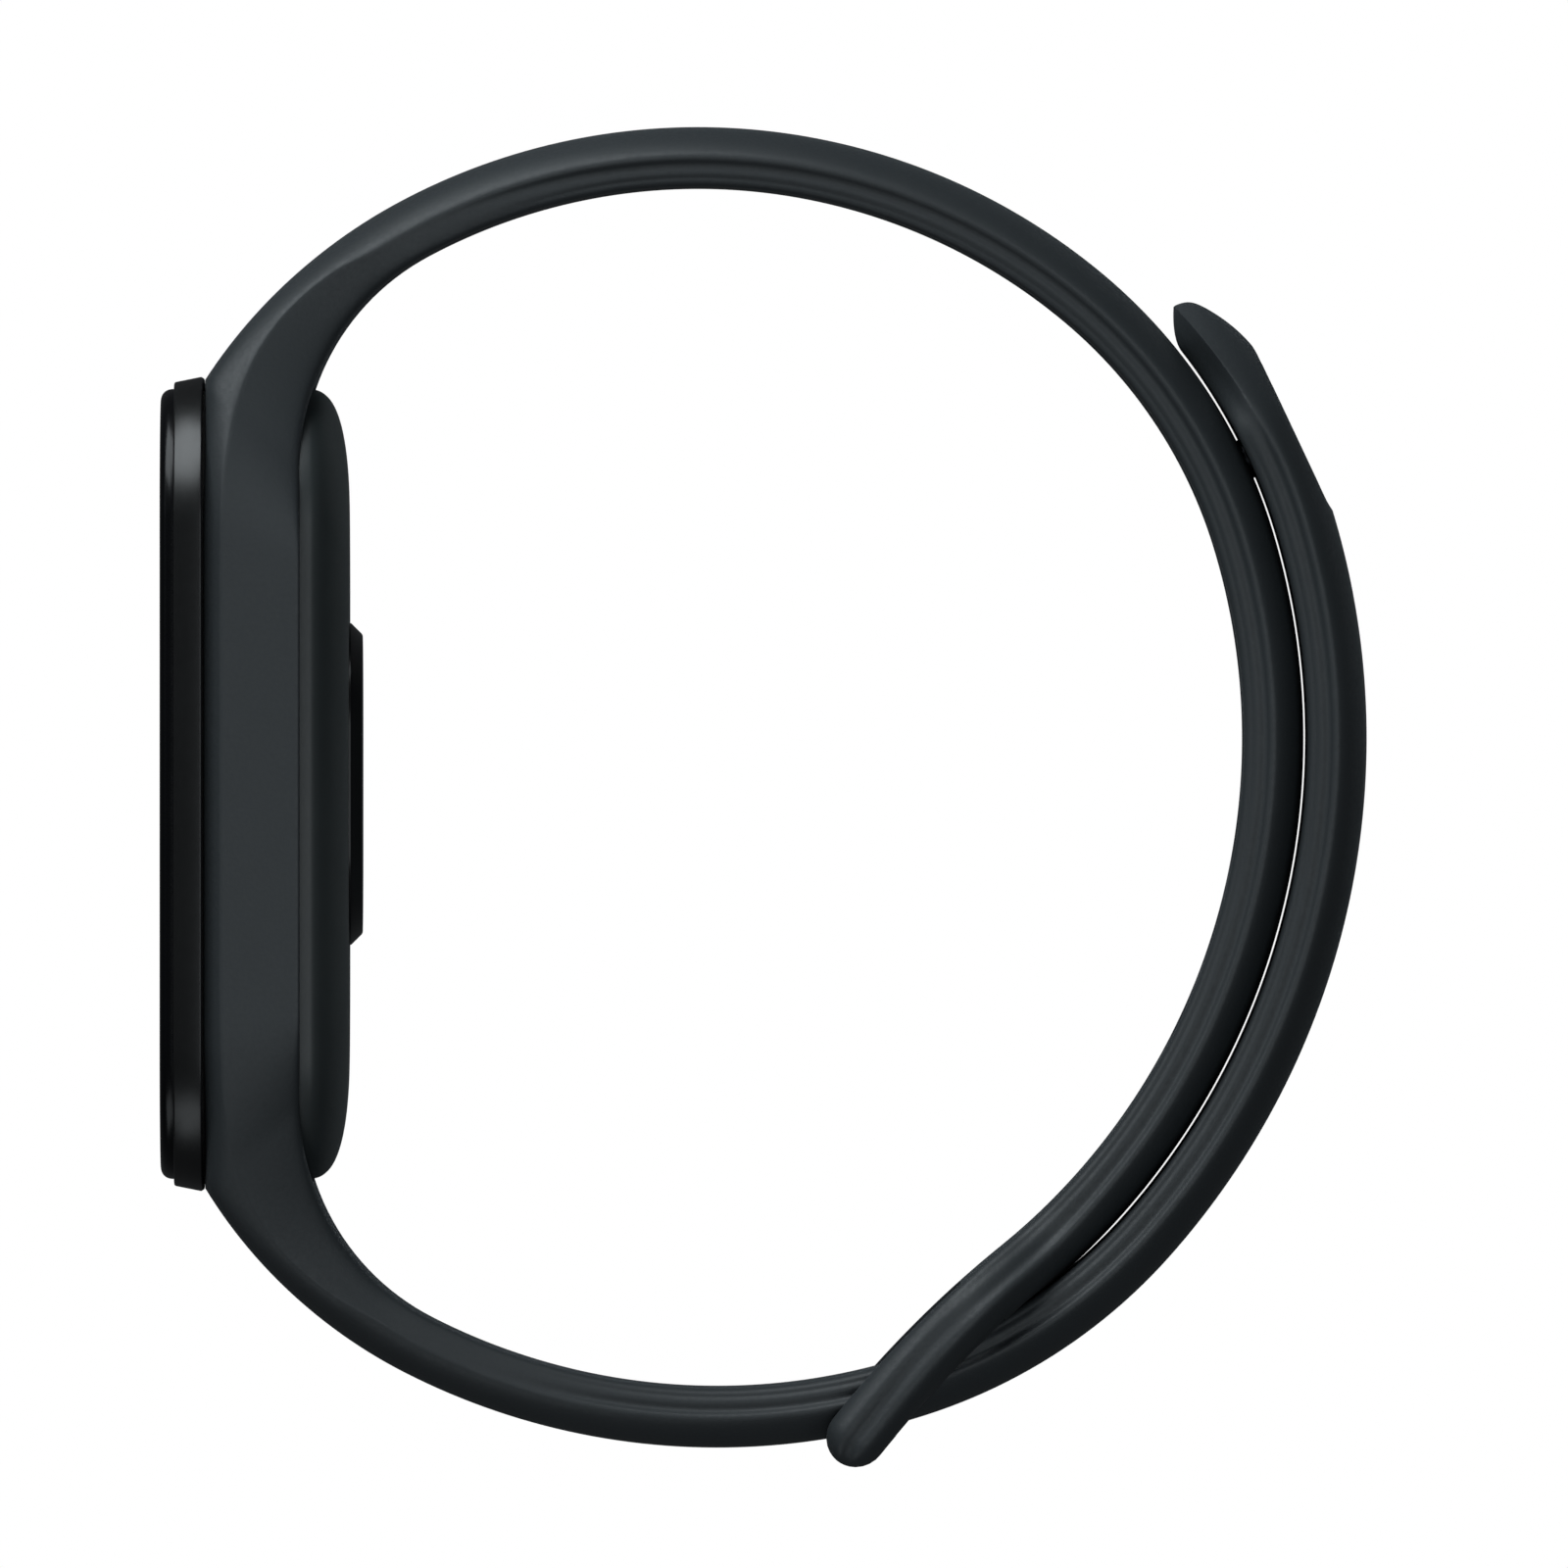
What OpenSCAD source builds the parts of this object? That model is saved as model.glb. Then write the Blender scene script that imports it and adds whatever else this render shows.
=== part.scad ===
// Fitness tracker band: a display capsule in a soft cradle with a loop-and-peg strap.
// Frame: origin at the middle of the wrist opening, +Z up the display, +Y along the
// forearm, the display looks along -X. All sizes are in millimetres.

/* [Display capsule] */
// Length of the capsule along Z, over the bezel
capsule_l = 42.5; // [35:0.5:52]
// Width of the capsule along Y, over the bezel
capsule_w = 25.4; // [21:0.1:31]
// Thickness from the front of the glass to the back of the shell
capsule_t = 9.8; // [8.1:0.1:12]
// Corner radius of the bezel seen from the front
corner_r = 7.5; // [6:0.1:9]
// Distance from the wrist axis to the front of the glass
glass_reach = 32.5; // [31:0.5:36]
// Wall of the back shell
shell_wall = 1; // [0.8:0.1:1.3]
// Clearance between the capsule and the cradle, each side
cradle_gap = 0.1; // [0.05:0.01:0.2]
// Height of the sensor window above the back shell
bump_t = 0.7; // [0.5:0.05:0.9]
// Length of the sensor window along Z
bump_l = 16.8; // [13:0.2:20]
// Width of the sensor window along Y
bump_w = 11.2; // [9:0.2:12]

/* [Display] */
// Thickness of the cover glass
glass_t = 1; // [0.8:0.05:1.2]
// Height of the glass above the bezel
glass_proud = 0.7; // [0.5:0.05:0.8]
// Rim of the bezel that shows around the glass
bezel_rim = 0.65; // [0.5:0.05:0.9]
// Thickness of the bezel frame
bezel_t = 1.5; // [1.2:0.1:2]
// Thickness of the display panel
panel_t = 0.6; // [0.4:0.05:0.8]
// Thickness of the backlight
backlight_t = 0.7; // [0.5:0.05:0.9]

/* [Strap] */
// Thickness of the strap at its middle
strap_t = 3.15; // [2.6:0.05:3.8]
// Width of the strap
strap_w = 17; // [14:0.5:20.5]
// Gap between the inner and outer laps
lap_gap = 0.15; // [0.1:0.05:0.3]
// Wall of the cradle around the capsule
cradle_wall = 1.05; // [0.85:0.05:1.3]
// Depth of the cradle along X
cradle_t = 5; // [4:0.1:6]
// Width of each rail of the loop
rail_w = 2.2; // [1.8:0.1:2.8]
// Length of the slot in the loop
slot_l = 8.3; // [7:0.1:10]

/* [Peg and holes] */
// Diameter of the peg's neck
neck_d = 2.2; // [1.8:0.1:2.7]
// Diameter of the peg's head
head_d = 2.6; // [2.3:0.1:3.2]
// Clearance around the peg's head in a hole
hole_gap = 0.12; // [0.08:0.01:0.2]
// Distance from one hole to the next
hole_pitch = 5.5; // [4.6:0.1:6.6]
// Number of holes
hole_count = 11; // [7:1:12]

/* [Inside] */
// Thickness of the main board
board_t = 0.7; // [0.5:0.1:0.9]
// Radius of the vibration motor
motor_r = 4; // [3:0.1:4.8]
// Running clearance of the motor's rotor on its shaft
run_gap = 0.04; // [0.02:0.01:0.08]
// Width of the battery's margin inside the shell
battery_gap = 0.6; // [0.4:0.1:1]

/* [Hidden] */
$fn = 48;
eps = 0.01;
// How far a cut runs past the face it cuts, and the thickness of a hull's thin layers
over = 1;
skin_t = 0.1;

// Depths, counted from the front of the glass
adhesive_t = 0.15;
seal_t = 0.15;
panel_d = glass_t;
backlight_d = panel_d + panel_t;
chassis_d = backlight_d + backlight_t;
chassis_t = 0.6;
bezel_back_d = glass_proud + bezel_t;
shell_d = bezel_back_d + seal_t;
floor_d = capsule_t - shell_wall;
cradle_d = bezel_back_d + cradle_gap;
sensor_board_t = 0.5;
can_h = 1.2;
can_gap = 0.3;
board_d = floor_d - sensor_board_t - can_gap - can_h - board_t;
board_back_d = board_d + board_t;
tape_t = 0.15;
battery_air = 0.25;
battery_d = chassis_d + chassis_t + tape_t;
battery_t = board_d - battery_air - battery_d;
motor_d = chassis_d + chassis_t;
motor_h = battery_t;

// How far things sit in from what surrounds them, both sides together
shell_in_l = 1.3;
shell_in_w = 2.5;
shell_in_r = 0.6;
window_in_l = 5.5;
window_in_w = 5.4;
panel_in_l = 1;
panel_in_w = 0.6;
panel_in_r = 0.4;
backlight_in = 1;
board_in = 0.7;
plug_in = 1.2;
cradle_in = 0.3;

// Outlines of the capsule
glass_l = capsule_l - 2 * bezel_rim;
glass_w = capsule_w - 2 * bezel_rim;
glass_r = corner_r - bezel_rim;
shell_l = capsule_l - shell_in_l;
shell_w = capsule_w - shell_in_w;
shell_r = corner_r - shell_in_r;
cavity_l = shell_l - 2 * shell_wall;
cavity_w = shell_w - 2 * shell_wall;
cavity_r = shell_r - shell_wall;
cavity_step = 1.3;
window_l = capsule_l - window_in_l;
window_w = capsule_w - window_in_w;
window_r = 5;
panel_l = window_l - panel_in_l;
panel_w = window_w - panel_in_w;
panel_r = window_r - panel_in_r;
board_l = cavity_l - board_in;
board_w = cavity_w - board_in;
plug_l = bump_l - plug_in;
plug_w = bump_w - plug_in;
plug_gap = 0.05;

// Places inside the capsule
end_gap = 0.9;
battery_motor_gap = 2.1;
contact_bump_gap = 4.1;
motor_z = -(cavity_l / 2 - end_gap - motor_r);
battery_z0 = motor_z + motor_r + battery_motor_gap;
battery_z1 = cavity_l / 2 - end_gap;
contact_r = 1.2;
contact_y = 2.75;
contact_z = -(bump_l / 2 + contact_bump_gap);
contact_flange_r = 1.6;
contact_flange_t = 0.3;
contact_fit = 0.02;
motor_wall = 0.25;
motor_end_t = 0.2;
magnet_t = 0.3;
rotor_gap = 0.2;
shaft_r = 0.3;
flex_t = 0.1;
flex_w = 3;
flex_y = window_w / 2 - window_r - flex_w;
flex_out = 0.25;
flex_z = -(panel_l / 2 + flex_out);
battery_board_t = 0.8;
can_w = 12;
can_l = 10;
can_z = 1;
can_wall = 0.15;
led_t = 0.35;
diode_z = 4.4;

// Parts on the back of the main board: [thickness, width, length, y, z]
processor = [0.8, 5, 5, -2.6, can_z];
flash = [0.7, 3, 4, 3.2, can_z];
power = [0.7, 3, 3, -3, -7];
motion = [0.7, 2, 2, 3, 9];
crystal_a = [0.7, 3.2, 1.5, -3.6, 9];
crystal_b = [0.5, 2, 1.6, 3, -7];

// Strap arcs: a centre [x, z], the radius of the face between the laps, and two angles
upper_c1 = [-4.5, 1.3];
upper_r1 = 33;
upper_a1 = 50;
upper_r2 = 28;
upper_a2 = 17;
upper_r3 = 37.4;
upper_a3 = -50.8;
loop_r = 56.6;
loop_reach = 3.7633;
lower_c1 = [-3.5, 1.2];
lower_r1 = 32.7;
lower_r2 = 25.6;
tail_end_a = 43;
flat_in = 0.42;
peg_a = 25;
pivot_a = 9;

// The cradle's side profile
cradle_x0 = cradle_d - glass_reach;
cradle_x1 = cradle_x0 + cradle_t;
cradle_l = capsule_l - cradle_in;
cradle_w = shell_w + 2 * (cradle_gap + cradle_wall);
root_r = 12.5;

function polar(c, r, a) = [c[0] + r * cos(a), c[1] + r * sin(a)];
function angle_of(v) = atan2(v[1], v[0]);
// Centre of a smaller arc that touches a bigger one from the inside at angle a
function inner_centre(c, big_r, small_r, a) = polar(c, big_r - small_r, a);
function arc_pts(c, r, a0, a1, n) = [for (i = [0:n]) polar(c, r, a0 + (a1 - a0) * i / n)];

upper_c2 = inner_centre(upper_c1, upper_r1, upper_r2, upper_a1);
upper_c3 = inner_centre(upper_c2, upper_r2, upper_r3, upper_a2);
upper_end = polar(upper_c3, upper_r3, upper_a3);
loop_c = polar(upper_end, loop_r, upper_a3);
// The loop reaches past the crossing lower strap, so it grows with the thickness
loop_l = loop_reach * strap_t;
loop_a0 = upper_a3 + 180;
loop_a1 = loop_a0 + loop_l / loop_r * 180 / PI;

// The lower arm meets the lap through one arc that touches both of its neighbours
lap_r3 = upper_r3 + lap_gap;
lap_r2 = upper_r2 + lap_gap;
link = upper_c3 - lower_c1;
link_l = norm(link);
link_p = lower_r1 - lower_r2;
link_q = lap_r3 - lower_r2;
link_cos = (link_p * link_p + link_l * link_l - link_q * link_q) / (2 * link_p * link_l);
lower_c2 = polar(lower_c1, link_p, angle_of(link) + acos(link_cos));
lower_a1 = angle_of(lower_c2 - lower_c1);
lower_a2 = angle_of(lower_c2 - upper_c3);

// Roots: the inner face of an arm runs on to the back of the cradle through one arc
function root_drop(c, r) = sqrt(pow(r - root_r, 2) - pow(cradle_x1 + root_r - c[0], 2));
upper_root = [cradle_x1 + root_r, upper_c1[1] + root_drop(upper_c1, upper_r1 - strap_t)];
lower_root = [cradle_x1 + root_r, lower_c1[1] - root_drop(lower_c1, lower_r1)];
upper_a0 = angle_of(upper_root - upper_c1);
lower_a0 = angle_of(lower_root - lower_c1);

// Outer root arc from the arm's outer face to a corner of the cradle
function corner_r_of(c, r, a, p) =
    let (u = [cos(a), sin(a)], d = p - c, e = d - r * u)
    (e * e) / (2 * (r - d * u));
function corner_arc(c, r, a, p, n) =
    let (s = corner_r_of(c, r, a, p), m = inner_centre(c, r, s, a), v = (p - m) / s)
    arc_pts(m, s, a, angle_of(v), n);

upper_corner = [cradle_x0, cradle_l / 2];
lower_corner = [cradle_x0, -cradle_l / 2];
root_steps = 8;
cradle_side = concat(
    [for (p = corner_arc(upper_c1, upper_r1, upper_a0, upper_corner, root_steps)) p],
    [for (i = [root_steps:-1:0])
        corner_arc(lower_c1, lower_r1 + strap_t, lower_a0, lower_corner, root_steps)[i]],
    arc_pts(lower_root, root_r, lower_a0, -180, root_steps),
    arc_pts(upper_root, root_r, 180, upper_a0, root_steps));

// Holes: arc length along the outer face of the inner lap, from the peg's hole
holes_above = 4;
hole_extra = 1;
recess_rim = 0.6;
recess_t = 0.7;
hole_w = head_d + 2 * hole_gap;
hole_l = hole_w + hole_extra;
recess_d = hole_l + 2 * recess_rim;
arc2_above = (upper_a1 - peg_a) * PI / 180 * upper_r2;
arc2_below = (peg_a - upper_a2) * PI / 180 * upper_r2;
function deg(s, r) = s / r * 180 / PI;
function hole_place(s) =
    s < -arc2_above ? [upper_c1, upper_r1, upper_a1 + deg(-s - arc2_above, upper_r1)]
    : s <= arc2_below ? [upper_c2, upper_r2, peg_a - deg(s, upper_r2)]
    : [upper_c3, upper_r3, upper_a2 - deg(s - arc2_below, upper_r3)];

// The tail's hinge line and the knuckle around it
pivot = polar(upper_c3, lap_r3 + strap_t / 2, pivot_a);
knuckle_r = strap_t / 2;
knuckle_gap = 0.15;
knuckle_a = deg(knuckle_r, lap_r3);

// Section of the strap: height of its widest line, the rounding above it, the height of its
// domed outer face, its rounded inner edges, and the steps of the dome as shares of its width
ridge_u = 1.2;
ridge_round_u = 0.45;
ridge_round_w = 0.96;
crown = 1.5;
edge = 0.5;
dome_steps = [0.75, 0.4];
station_deg = 4;

// The loop's round tip: its stations, and the share of the width that is left at the end
tip_angles = [20, 40, 60, 78];
tip_share = 0.3;
slot_gap = 0.15;
slot_side = 0.3;
loop_w = strap_w + 2 * slot_side + 2 * rail_w;
loop_taper0 = 9;
loop_taper1 = 15;
bar_l = 1.3;

// ---- Helpers ----

// A plate square to X: its outline is [y, z], and depth counts from the glass front
module plate(depth, thick)
    translate([depth - glass_reach, 0, 0]) rotate([90, 0, 90]) linear_extrude(thick) children();

// A sheet square to Y: its outline is [x, z]
module sheet(wide)
    rotate([90, 0, 0]) linear_extrude(wide, center = true) children();

// A round bar along X at a given [y, z]
module pin_x(depth, thick, r, y = 0, z = 0)
    translate([depth - glass_reach, y, z]) rotate([0, 90, 0]) cylinder(r = r, h = thick);

function corner(x, y, r, a) = arc_pts([x, y], r, a, a + 90, 6);
function rounded(w, l, r) = concat(
    corner(w / 2 - r, l / 2 - r, r, 0), corner(r - w / 2, l / 2 - r, r, 90),
    corner(r - w / 2, r - l / 2, r, 180), corner(w / 2 - r, r - l / 2, r, 270));

module slab(w, l, r) polygon(rounded(w, l, r));

// A box on the capsule's depth scale, centred on [y, z]
module block(depth, thick, w, l, y = 0, z = 0)
    translate([depth - glass_reach, y - w / 2, z - l / 2]) cube([thick, w, l]);

// Half of the strap's section as [height above the inner face, half width]
function half_section(w) = concat(
    [[0, w / 2 - 2 * edge], [edge / 2, w / 2 - edge], [ridge_u, w / 2],
        [ridge_u + ridge_round_u, ridge_round_w * w / 2]],
    [for (k = dome_steps) [strap_t - crown * k * k, w / 2 * k]]);
function mirrored(pts) = [for (i = [len(pts) - 1:-1:0]) [pts[i][0], -pts[i][1]]];
function strap_section(w) = concat(half_section(w), mirrored(half_section(w)));

// A run is a list of arcs [centre, radius, first angle, last angle, side]. Its heights are
// measured outward from the arc, so side is -1 where the arc's centre lies outside the band.
// A station is a place on a run: [centre, radius, angle, side, strap width, share of thickness]
function stations(run, w) = [for (k = [0:len(run) - 1])
    let (q = run[k], n = max(2, ceil(abs(q[3] - q[2]) / station_deg)))
    for (i = [(k == 0 ? 0 : 1):n])
        [q[0], q[1], q[2] + (q[3] - q[2]) * i / n, q[4], w, 1]];
function ring(st, base) = [for (p = strap_section(st[4]))
    let (mid = strap_t / 2, h = base + mid + (p[0] - mid) * st[5],
        r = st[1] + st[3] * h, y = p[1] * (tip_share + (1 - tip_share) * st[5]))
    [st[0][0] + r * cos(st[2]), y, st[0][1] + r * sin(st[2])]];

// One closed skin over the rings at all stations; base is the height of the inner face
module loft(sts, base, clockwise) {
    rings = [for (st = sts) ring(st, base)];
    m = len(rings[0]);
    n = len(rings);
    sides = [for (j = [0:n - 2]) for (i = [0:m - 1])
        let (k = (i + 1) % m)
        [[j * m + i, j * m + k, (j + 1) * m + k], [j * m + i, (j + 1) * m + k, (j + 1) * m + i]]];
    tris = concat([for (q = sides) q[0]], [for (q = sides) q[1]],
        [[for (i = [m - 1:-1:0]) i]], [[for (i = [0:m - 1]) (n - 1) * m + i]]);
    polyhedron(points = [for (r = rings) for (p = r) p],
        faces = clockwise ? tris : [for (f = tris) [for (i = [len(f) - 1:-1:0]) f[i]]]);
}

// The side outline of a run between two heights, square to Y
function run_pts(run, h) = [for (st = stations(run, 0)) polar(st[0], st[1] + st[3] * h, st[2])];
function run_outline(run, h0, h1) = concat(run_pts(run, h1),
    [for (i = [len(run_pts(run, h0)) - 1:-1:0]) run_pts(run, h0)[i]]);

// A part on the back of the main board
module on_board(p) block(board_back_d, p[0], p[1], p[2], p[3], p[4]);

// Places children on a strap face: local X runs outward and local Z along the strap
module on_face(c, r, a)
    translate([c[0] + r * cos(a), 0, c[1] + r * sin(a)]) rotate([0, -a, 0]) children();

// A hole with round ends, long along the strap, and its recess on the inner face
module strap_hole() {
    translate([-strap_t - over, 0, 0]) rotate([90, 0, 90])
        linear_extrude(strap_t + 2 * over) slab(hole_w, hole_l, hole_w / 2 - eps);
    translate([-strap_t - over, 0, 0]) rotate([0, 90, 0])
        cylinder(d = recess_d, h = over + recess_t);
}

// ---- Strap ----

module cradle() color("#33373a") difference() {
    flare = acos((strap_w / 2 - cradle_w / 2 + corner_r) / corner_r);
    side = concat(
        arc_pts([cradle_w / 2 - corner_r, cradle_l / 2 - corner_r], corner_r, 0, flare, 6),
        [[strap_w / 2, glass_reach + strap_t]]);
    half = concat([for (i = [len(side) - 1:-1:0]) [side[i][0], -side[i][1]]], side);
    intersection() {
        sheet(cradle_w) polygon(cradle_side);
        plate(0, glass_reach) polygon(concat(half,
            [for (i = [len(half) - 1:-1:0]) [-half[i][0], half[i][1]]]));
    }
    plate(cradle_d - over, glass_reach) slab(shell_w + 2 * cradle_gap, shell_l + 2 * cradle_gap,
        shell_r + cradle_gap);
}

upper_run = [[upper_c1, upper_r1, upper_a0, upper_a1, 1],
    [upper_c2, upper_r2, upper_a1, upper_a2, 1],
    [upper_c3, upper_r3, upper_a2, upper_a3, 1],
    [loop_c, loop_r, loop_a0, loop_a1, -1]];
lower_run = [[lower_c1, lower_r1, lower_a0, lower_a1, 1],
    [lower_c2, lower_r2, lower_a1, lower_a2, 1],
    [upper_c3, lap_r3, lower_a2, pivot_a + 2 * knuckle_a, 1]];
tail_run = [[upper_c3, lap_r3, pivot_a, upper_a2, 1],
    [upper_c2, lap_r2, upper_a2, tail_end_a, 1]];

// The upper strap widens towards its end; its tip is round
function from_tip(st) = st[3] < 0 ? (loop_a1 - st[2]) * PI / 180 * loop_r
    : st[1] == upper_r3 ? loop_l + (st[2] - upper_a3) * PI / 180 * upper_r3
    : 10 * loop_taper1;
function loop_width(d) = strap_w + (loop_w - strap_w)
    * min(1, max(0, (loop_taper1 - d) / (loop_taper1 - loop_taper0)));
upper_stations = concat(
    [for (st = stations(upper_run, 0))
        [st[0], st[1], st[2], st[3], loop_width(from_tip(st)), 1]],
    [for (a = tip_angles)
        [loop_c, loop_r, loop_a1 + deg(strap_t / 2 * sin(a), loop_r), -1, loop_w, cos(a)]]);

// Local X runs back along the strap from the middle of the loop's end
module loop_frame() {
    tip = polar(loop_c, loop_r + strap_t / 2, loop_a1);
    translate([tip[0], 0, tip[1]]) rotate([0, 90 - loop_a1, 0]) children();
}

module upper_strap() color("#33383b") difference() {
    slot_w = strap_w + 2 * slot_side;
    loft(upper_stations, -strap_t, true);
    // the room that the lower strap needs where it crosses to the outside
    sheet(slot_w) polygon(run_outline(lower_run, -slot_gap, strap_t + slot_gap));
    loop_frame() translate([bar_l, -slot_w / 2, -strap_t]) cube([slot_l, slot_w, 2 * strap_t]);
    for (i = [0:hole_count - 1]) {
        place = hole_place((i - holes_above) * hole_pitch);
        on_face(place[0], place[1], place[2]) strap_hole();
    }
}

module lower_strap() color("#2d3234") intersection() {
    far = 4 * capsule_l;
    loft(stations(lower_run, strap_w), 0, false);
    // everything before the hinge line, and a round end about it
    translate([pivot[0], 0, pivot[1]]) rotate([0, -pivot_a, 0]) sheet(2 * strap_w)
        polygon(concat(arc_pts([0, 0], knuckle_r, 0, 180, 16), [[-far, 0], [-far, -far],
            [far / 4, -far], [far / 4, 0]]));
}

// The free end of the lower strap, with a flat over the peg and a thinned round tip
module strap_tail() color("#2a2e30") difference() {
    outer_r = lap_r2 + strap_t;
    tip_l = 4.2;
    reach = 40;
    flat_l = 12;
    wedge_in = 0.1;
    wedge_a = 14;
    intersection() {
        loft(stations(tail_run, strap_w), 0, false);
        on_face(upper_c2, outer_r, tail_end_a) translate([-5 * strap_t, 0, 0])
            rotate([90, 0, 90]) linear_extrude(6 * strap_t)
                polygon(concat([[-strap_w / 2, -reach], [strap_w / 2, -reach]],
                    arc_pts([0, -strap_w / 2], strap_w / 2, 0, 180, 16)));
    }
    translate([pivot[0], 0, pivot[1]]) rotate([90, 0, 0])
        cylinder(r = knuckle_r + knuckle_gap, h = 2 * strap_w, center = true);
    // flat over the peg
    on_face(upper_c2, outer_r - flat_in, peg_a) translate([0, -strap_w, -flat_l / 2])
        cube([strap_t, 2 * strap_w, flat_l]);
    // wedge at the tip
    on_face(upper_c2, outer_r - wedge_in, tail_end_a - deg(tip_l, outer_r))
        rotate([0, -wedge_a, 0]) translate([0, -strap_w, 0]) cube([2 * strap_t, 2 * strap_w, 3 * tip_l]);
    peg_solid(hole_gap / 4);
}

// The peg: a cap in the tail, a neck through the inner lap and a rounded head
module peg_solid(grow) {
    cap_r = 2.6 + grow;
    cap_t = 0.8;
    stem_r = neck_d / 2 + grow;
    head_r = head_d / 2;
    head_sink = 0.1;
    head_round = 0.35;
    head_t = recess_t - head_sink;
    outer = strap_t - flat_in;
    on_face(upper_c2, lap_r2, peg_a) rotate([0, 90, 0]) {
        translate([0, 0, outer - cap_t - grow]) cylinder(r = cap_r, h = cap_t + 8 * grow);
        translate([0, 0, -strap_t - lap_gap + recess_t - eps])
            cylinder(r = stem_r, h = outer + strap_t + lap_gap - recess_t);
        if (grow == 0) {
            translate([0, 0, -strap_t - lap_gap + head_sink])
                cylinder(r1 = head_r - head_round, r2 = head_r, h = head_t / 2);
            translate([0, 0, -strap_t - lap_gap + head_sink + head_t / 2])
                cylinder(r = head_r, h = head_t / 2);
        }
    }
}

module snap_peg() color("#3a3d40") peg_solid(0);

// ---- Display ----

module cover_glass() color("#060708") {
    front_in = 0.5;
    front_r = glass_r - 0.35;
    mid_d = 0.25;
    mid_in = 0.15;
    mid_r = glass_r - 0.1;
    hull() {
        plate(0, skin_t) slab(glass_w - 2 * front_in, glass_l - 2 * front_in, front_r);
        plate(mid_d, skin_t) slab(glass_w - 2 * mid_in, glass_l - 2 * mid_in, mid_r);
        plate(glass_proud, glass_t - glass_proud) slab(glass_w, glass_l, glass_r);
    }
}

module glass_adhesive() color("#141414") plate(glass_t, adhesive_t) difference() {
    rim = 0.2;
    slab(glass_w - 2 * rim, glass_l - 2 * rim, glass_r - rim);
    slab(window_w, window_l, window_r);
}

module bezel_frame() color("#0b0c0d") difference() {
    draft = 0.3;
    lip_t = 0.3;
    gap = 0.08;
    hull() {
        plate(glass_proud, skin_t)
            slab(capsule_w - 2 * draft, capsule_l - 2 * draft, corner_r - draft);
        plate(bezel_back_d - lip_t, lip_t) slab(capsule_w, capsule_l, corner_r);
    }
    plate(0, glass_t + adhesive_t) slab(glass_w + 2 * gap, glass_l + 2 * gap, glass_r + gap);
    plate(0, capsule_t) slab(window_w, window_l, window_r);
}

module display_panel() color("#0a0d12") plate(panel_d, panel_t)
    slab(panel_w, panel_l, panel_r);

module display_backlight() color("#c9ccce")
    plate(backlight_d, backlight_t) translate([0, backlight_in / 2])
        slab(panel_w, panel_l - backlight_in, panel_r);

module display_flex() color("#a8642a") translate([0, flex_y + flex_w / 2, 0]) sheet(flex_w) {
    x0 = backlight_d - glass_reach;
    x1 = board_d - glass_reach;
    tab = 0.9;
    foot = 2.8;
    polygon([[x0, flex_z + tab], [x0, flex_z], [x1, flex_z], [x1, flex_z + foot],
        [x1 - flex_t, flex_z + foot], [x1 - flex_t, flex_z + flex_t],
        [x0 + flex_t, flex_z + flex_t], [x0 + flex_t, flex_z + tab]]);
}

module inner_frame() color("#2b2d2f") difference() {
    gap = 0.15;
    lug_w = 8;
    lug_t = 0.6;
    notch_l = 0.8;
    vent_w = 3;
    vent_l = 6;
    vent_y = cavity_w / 2 - 4;
    vent_z = cavity_l / 2 - 7;
    union() {
        plate(chassis_d, chassis_t) slab(cavity_w - 2 * gap, cavity_l - 2 * gap, cavity_r - gap);
        for (s = [-1, 1])
            block(bezel_back_d, chassis_d - bezel_back_d + eps, lug_w, lug_t,
                0, s * (cavity_l / 2 - lug_t));
    }
    block(chassis_d - over, 3 * over, flex_w + 4 * gap, notch_l, flex_y + flex_w / 2, flex_z);
    for (s = [-1, 1])
        block(chassis_d - over, 3 * over, vent_w, vent_l, s * vent_y, vent_z);
}

// ---- Battery and motor ----

module battery_outline(inset) {
    w = cavity_w - 2 * battery_gap - 2 * inset;
    r = cavity_r - battery_gap;
    l = battery_z1 - battery_z0 - 2 * inset;
    mid = (battery_z0 + battery_z1) / 2;
    low_r = 1;
    polygon([for (p = concat(corner(w / 2 - r, l / 2 - r, r, 0), corner(r - w / 2, l / 2 - r, r, 90),
        corner(low_r - w / 2, low_r - l / 2, low_r, 180),
        corner(w / 2 - low_r, low_r - l / 2, low_r, 270)))
        p + [0, mid]]);
}

module battery_cell() color("#9ea3a8") plate(battery_d, battery_t) battery_outline(0);
module battery_tape() color("#e4e1d2") {
    inset = 1.5;
    plate(battery_d - tape_t, tape_t) battery_outline(inset);
}

module battery_board() color("#1f6b3a") {
    wide = 12;
    share = 0.7;
    block(battery_d + battery_air, battery_t * share, wide, battery_board_t,
        0, battery_z0 - battery_board_t / 2);
}

module battery_leads() color("#b3261e") for (s = [-1, 1]) {
    wire_r = 0.3;
    wire_y = 2.5;
    out = 1.25;
    z = battery_z0 - out;
    mid = battery_d + battery_t / 2;
    pin_x(mid - wire_r, board_d - mid + wire_r, wire_r, s * wire_y, z);
    translate([mid - glass_reach, s * wire_y, z])
        cylinder(r = wire_r, h = out - battery_board_t);
}

module motor_case() color("#b9bdc1") difference() {
    pin_x(motor_d, motor_h - motor_end_t, motor_r, 0, motor_z);
    pin_x(motor_d + motor_end_t, motor_h, motor_r - motor_wall, 0, motor_z);
}

module motor_cap() color("#a9adb0")
    pin_x(motor_d + motor_h - motor_end_t, motor_end_t, motor_r, 0, motor_z);

module motor_magnet() color("#4b4d50") difference() {
    outer_share = 0.7;
    inner_share = 0.25;
    pin_x(motor_d + motor_h - motor_end_t - magnet_t, magnet_t, motor_r * outer_share,
        0, motor_z);
    pin_x(motor_d, motor_h, motor_r * inner_share, 0, motor_z);
}

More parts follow.
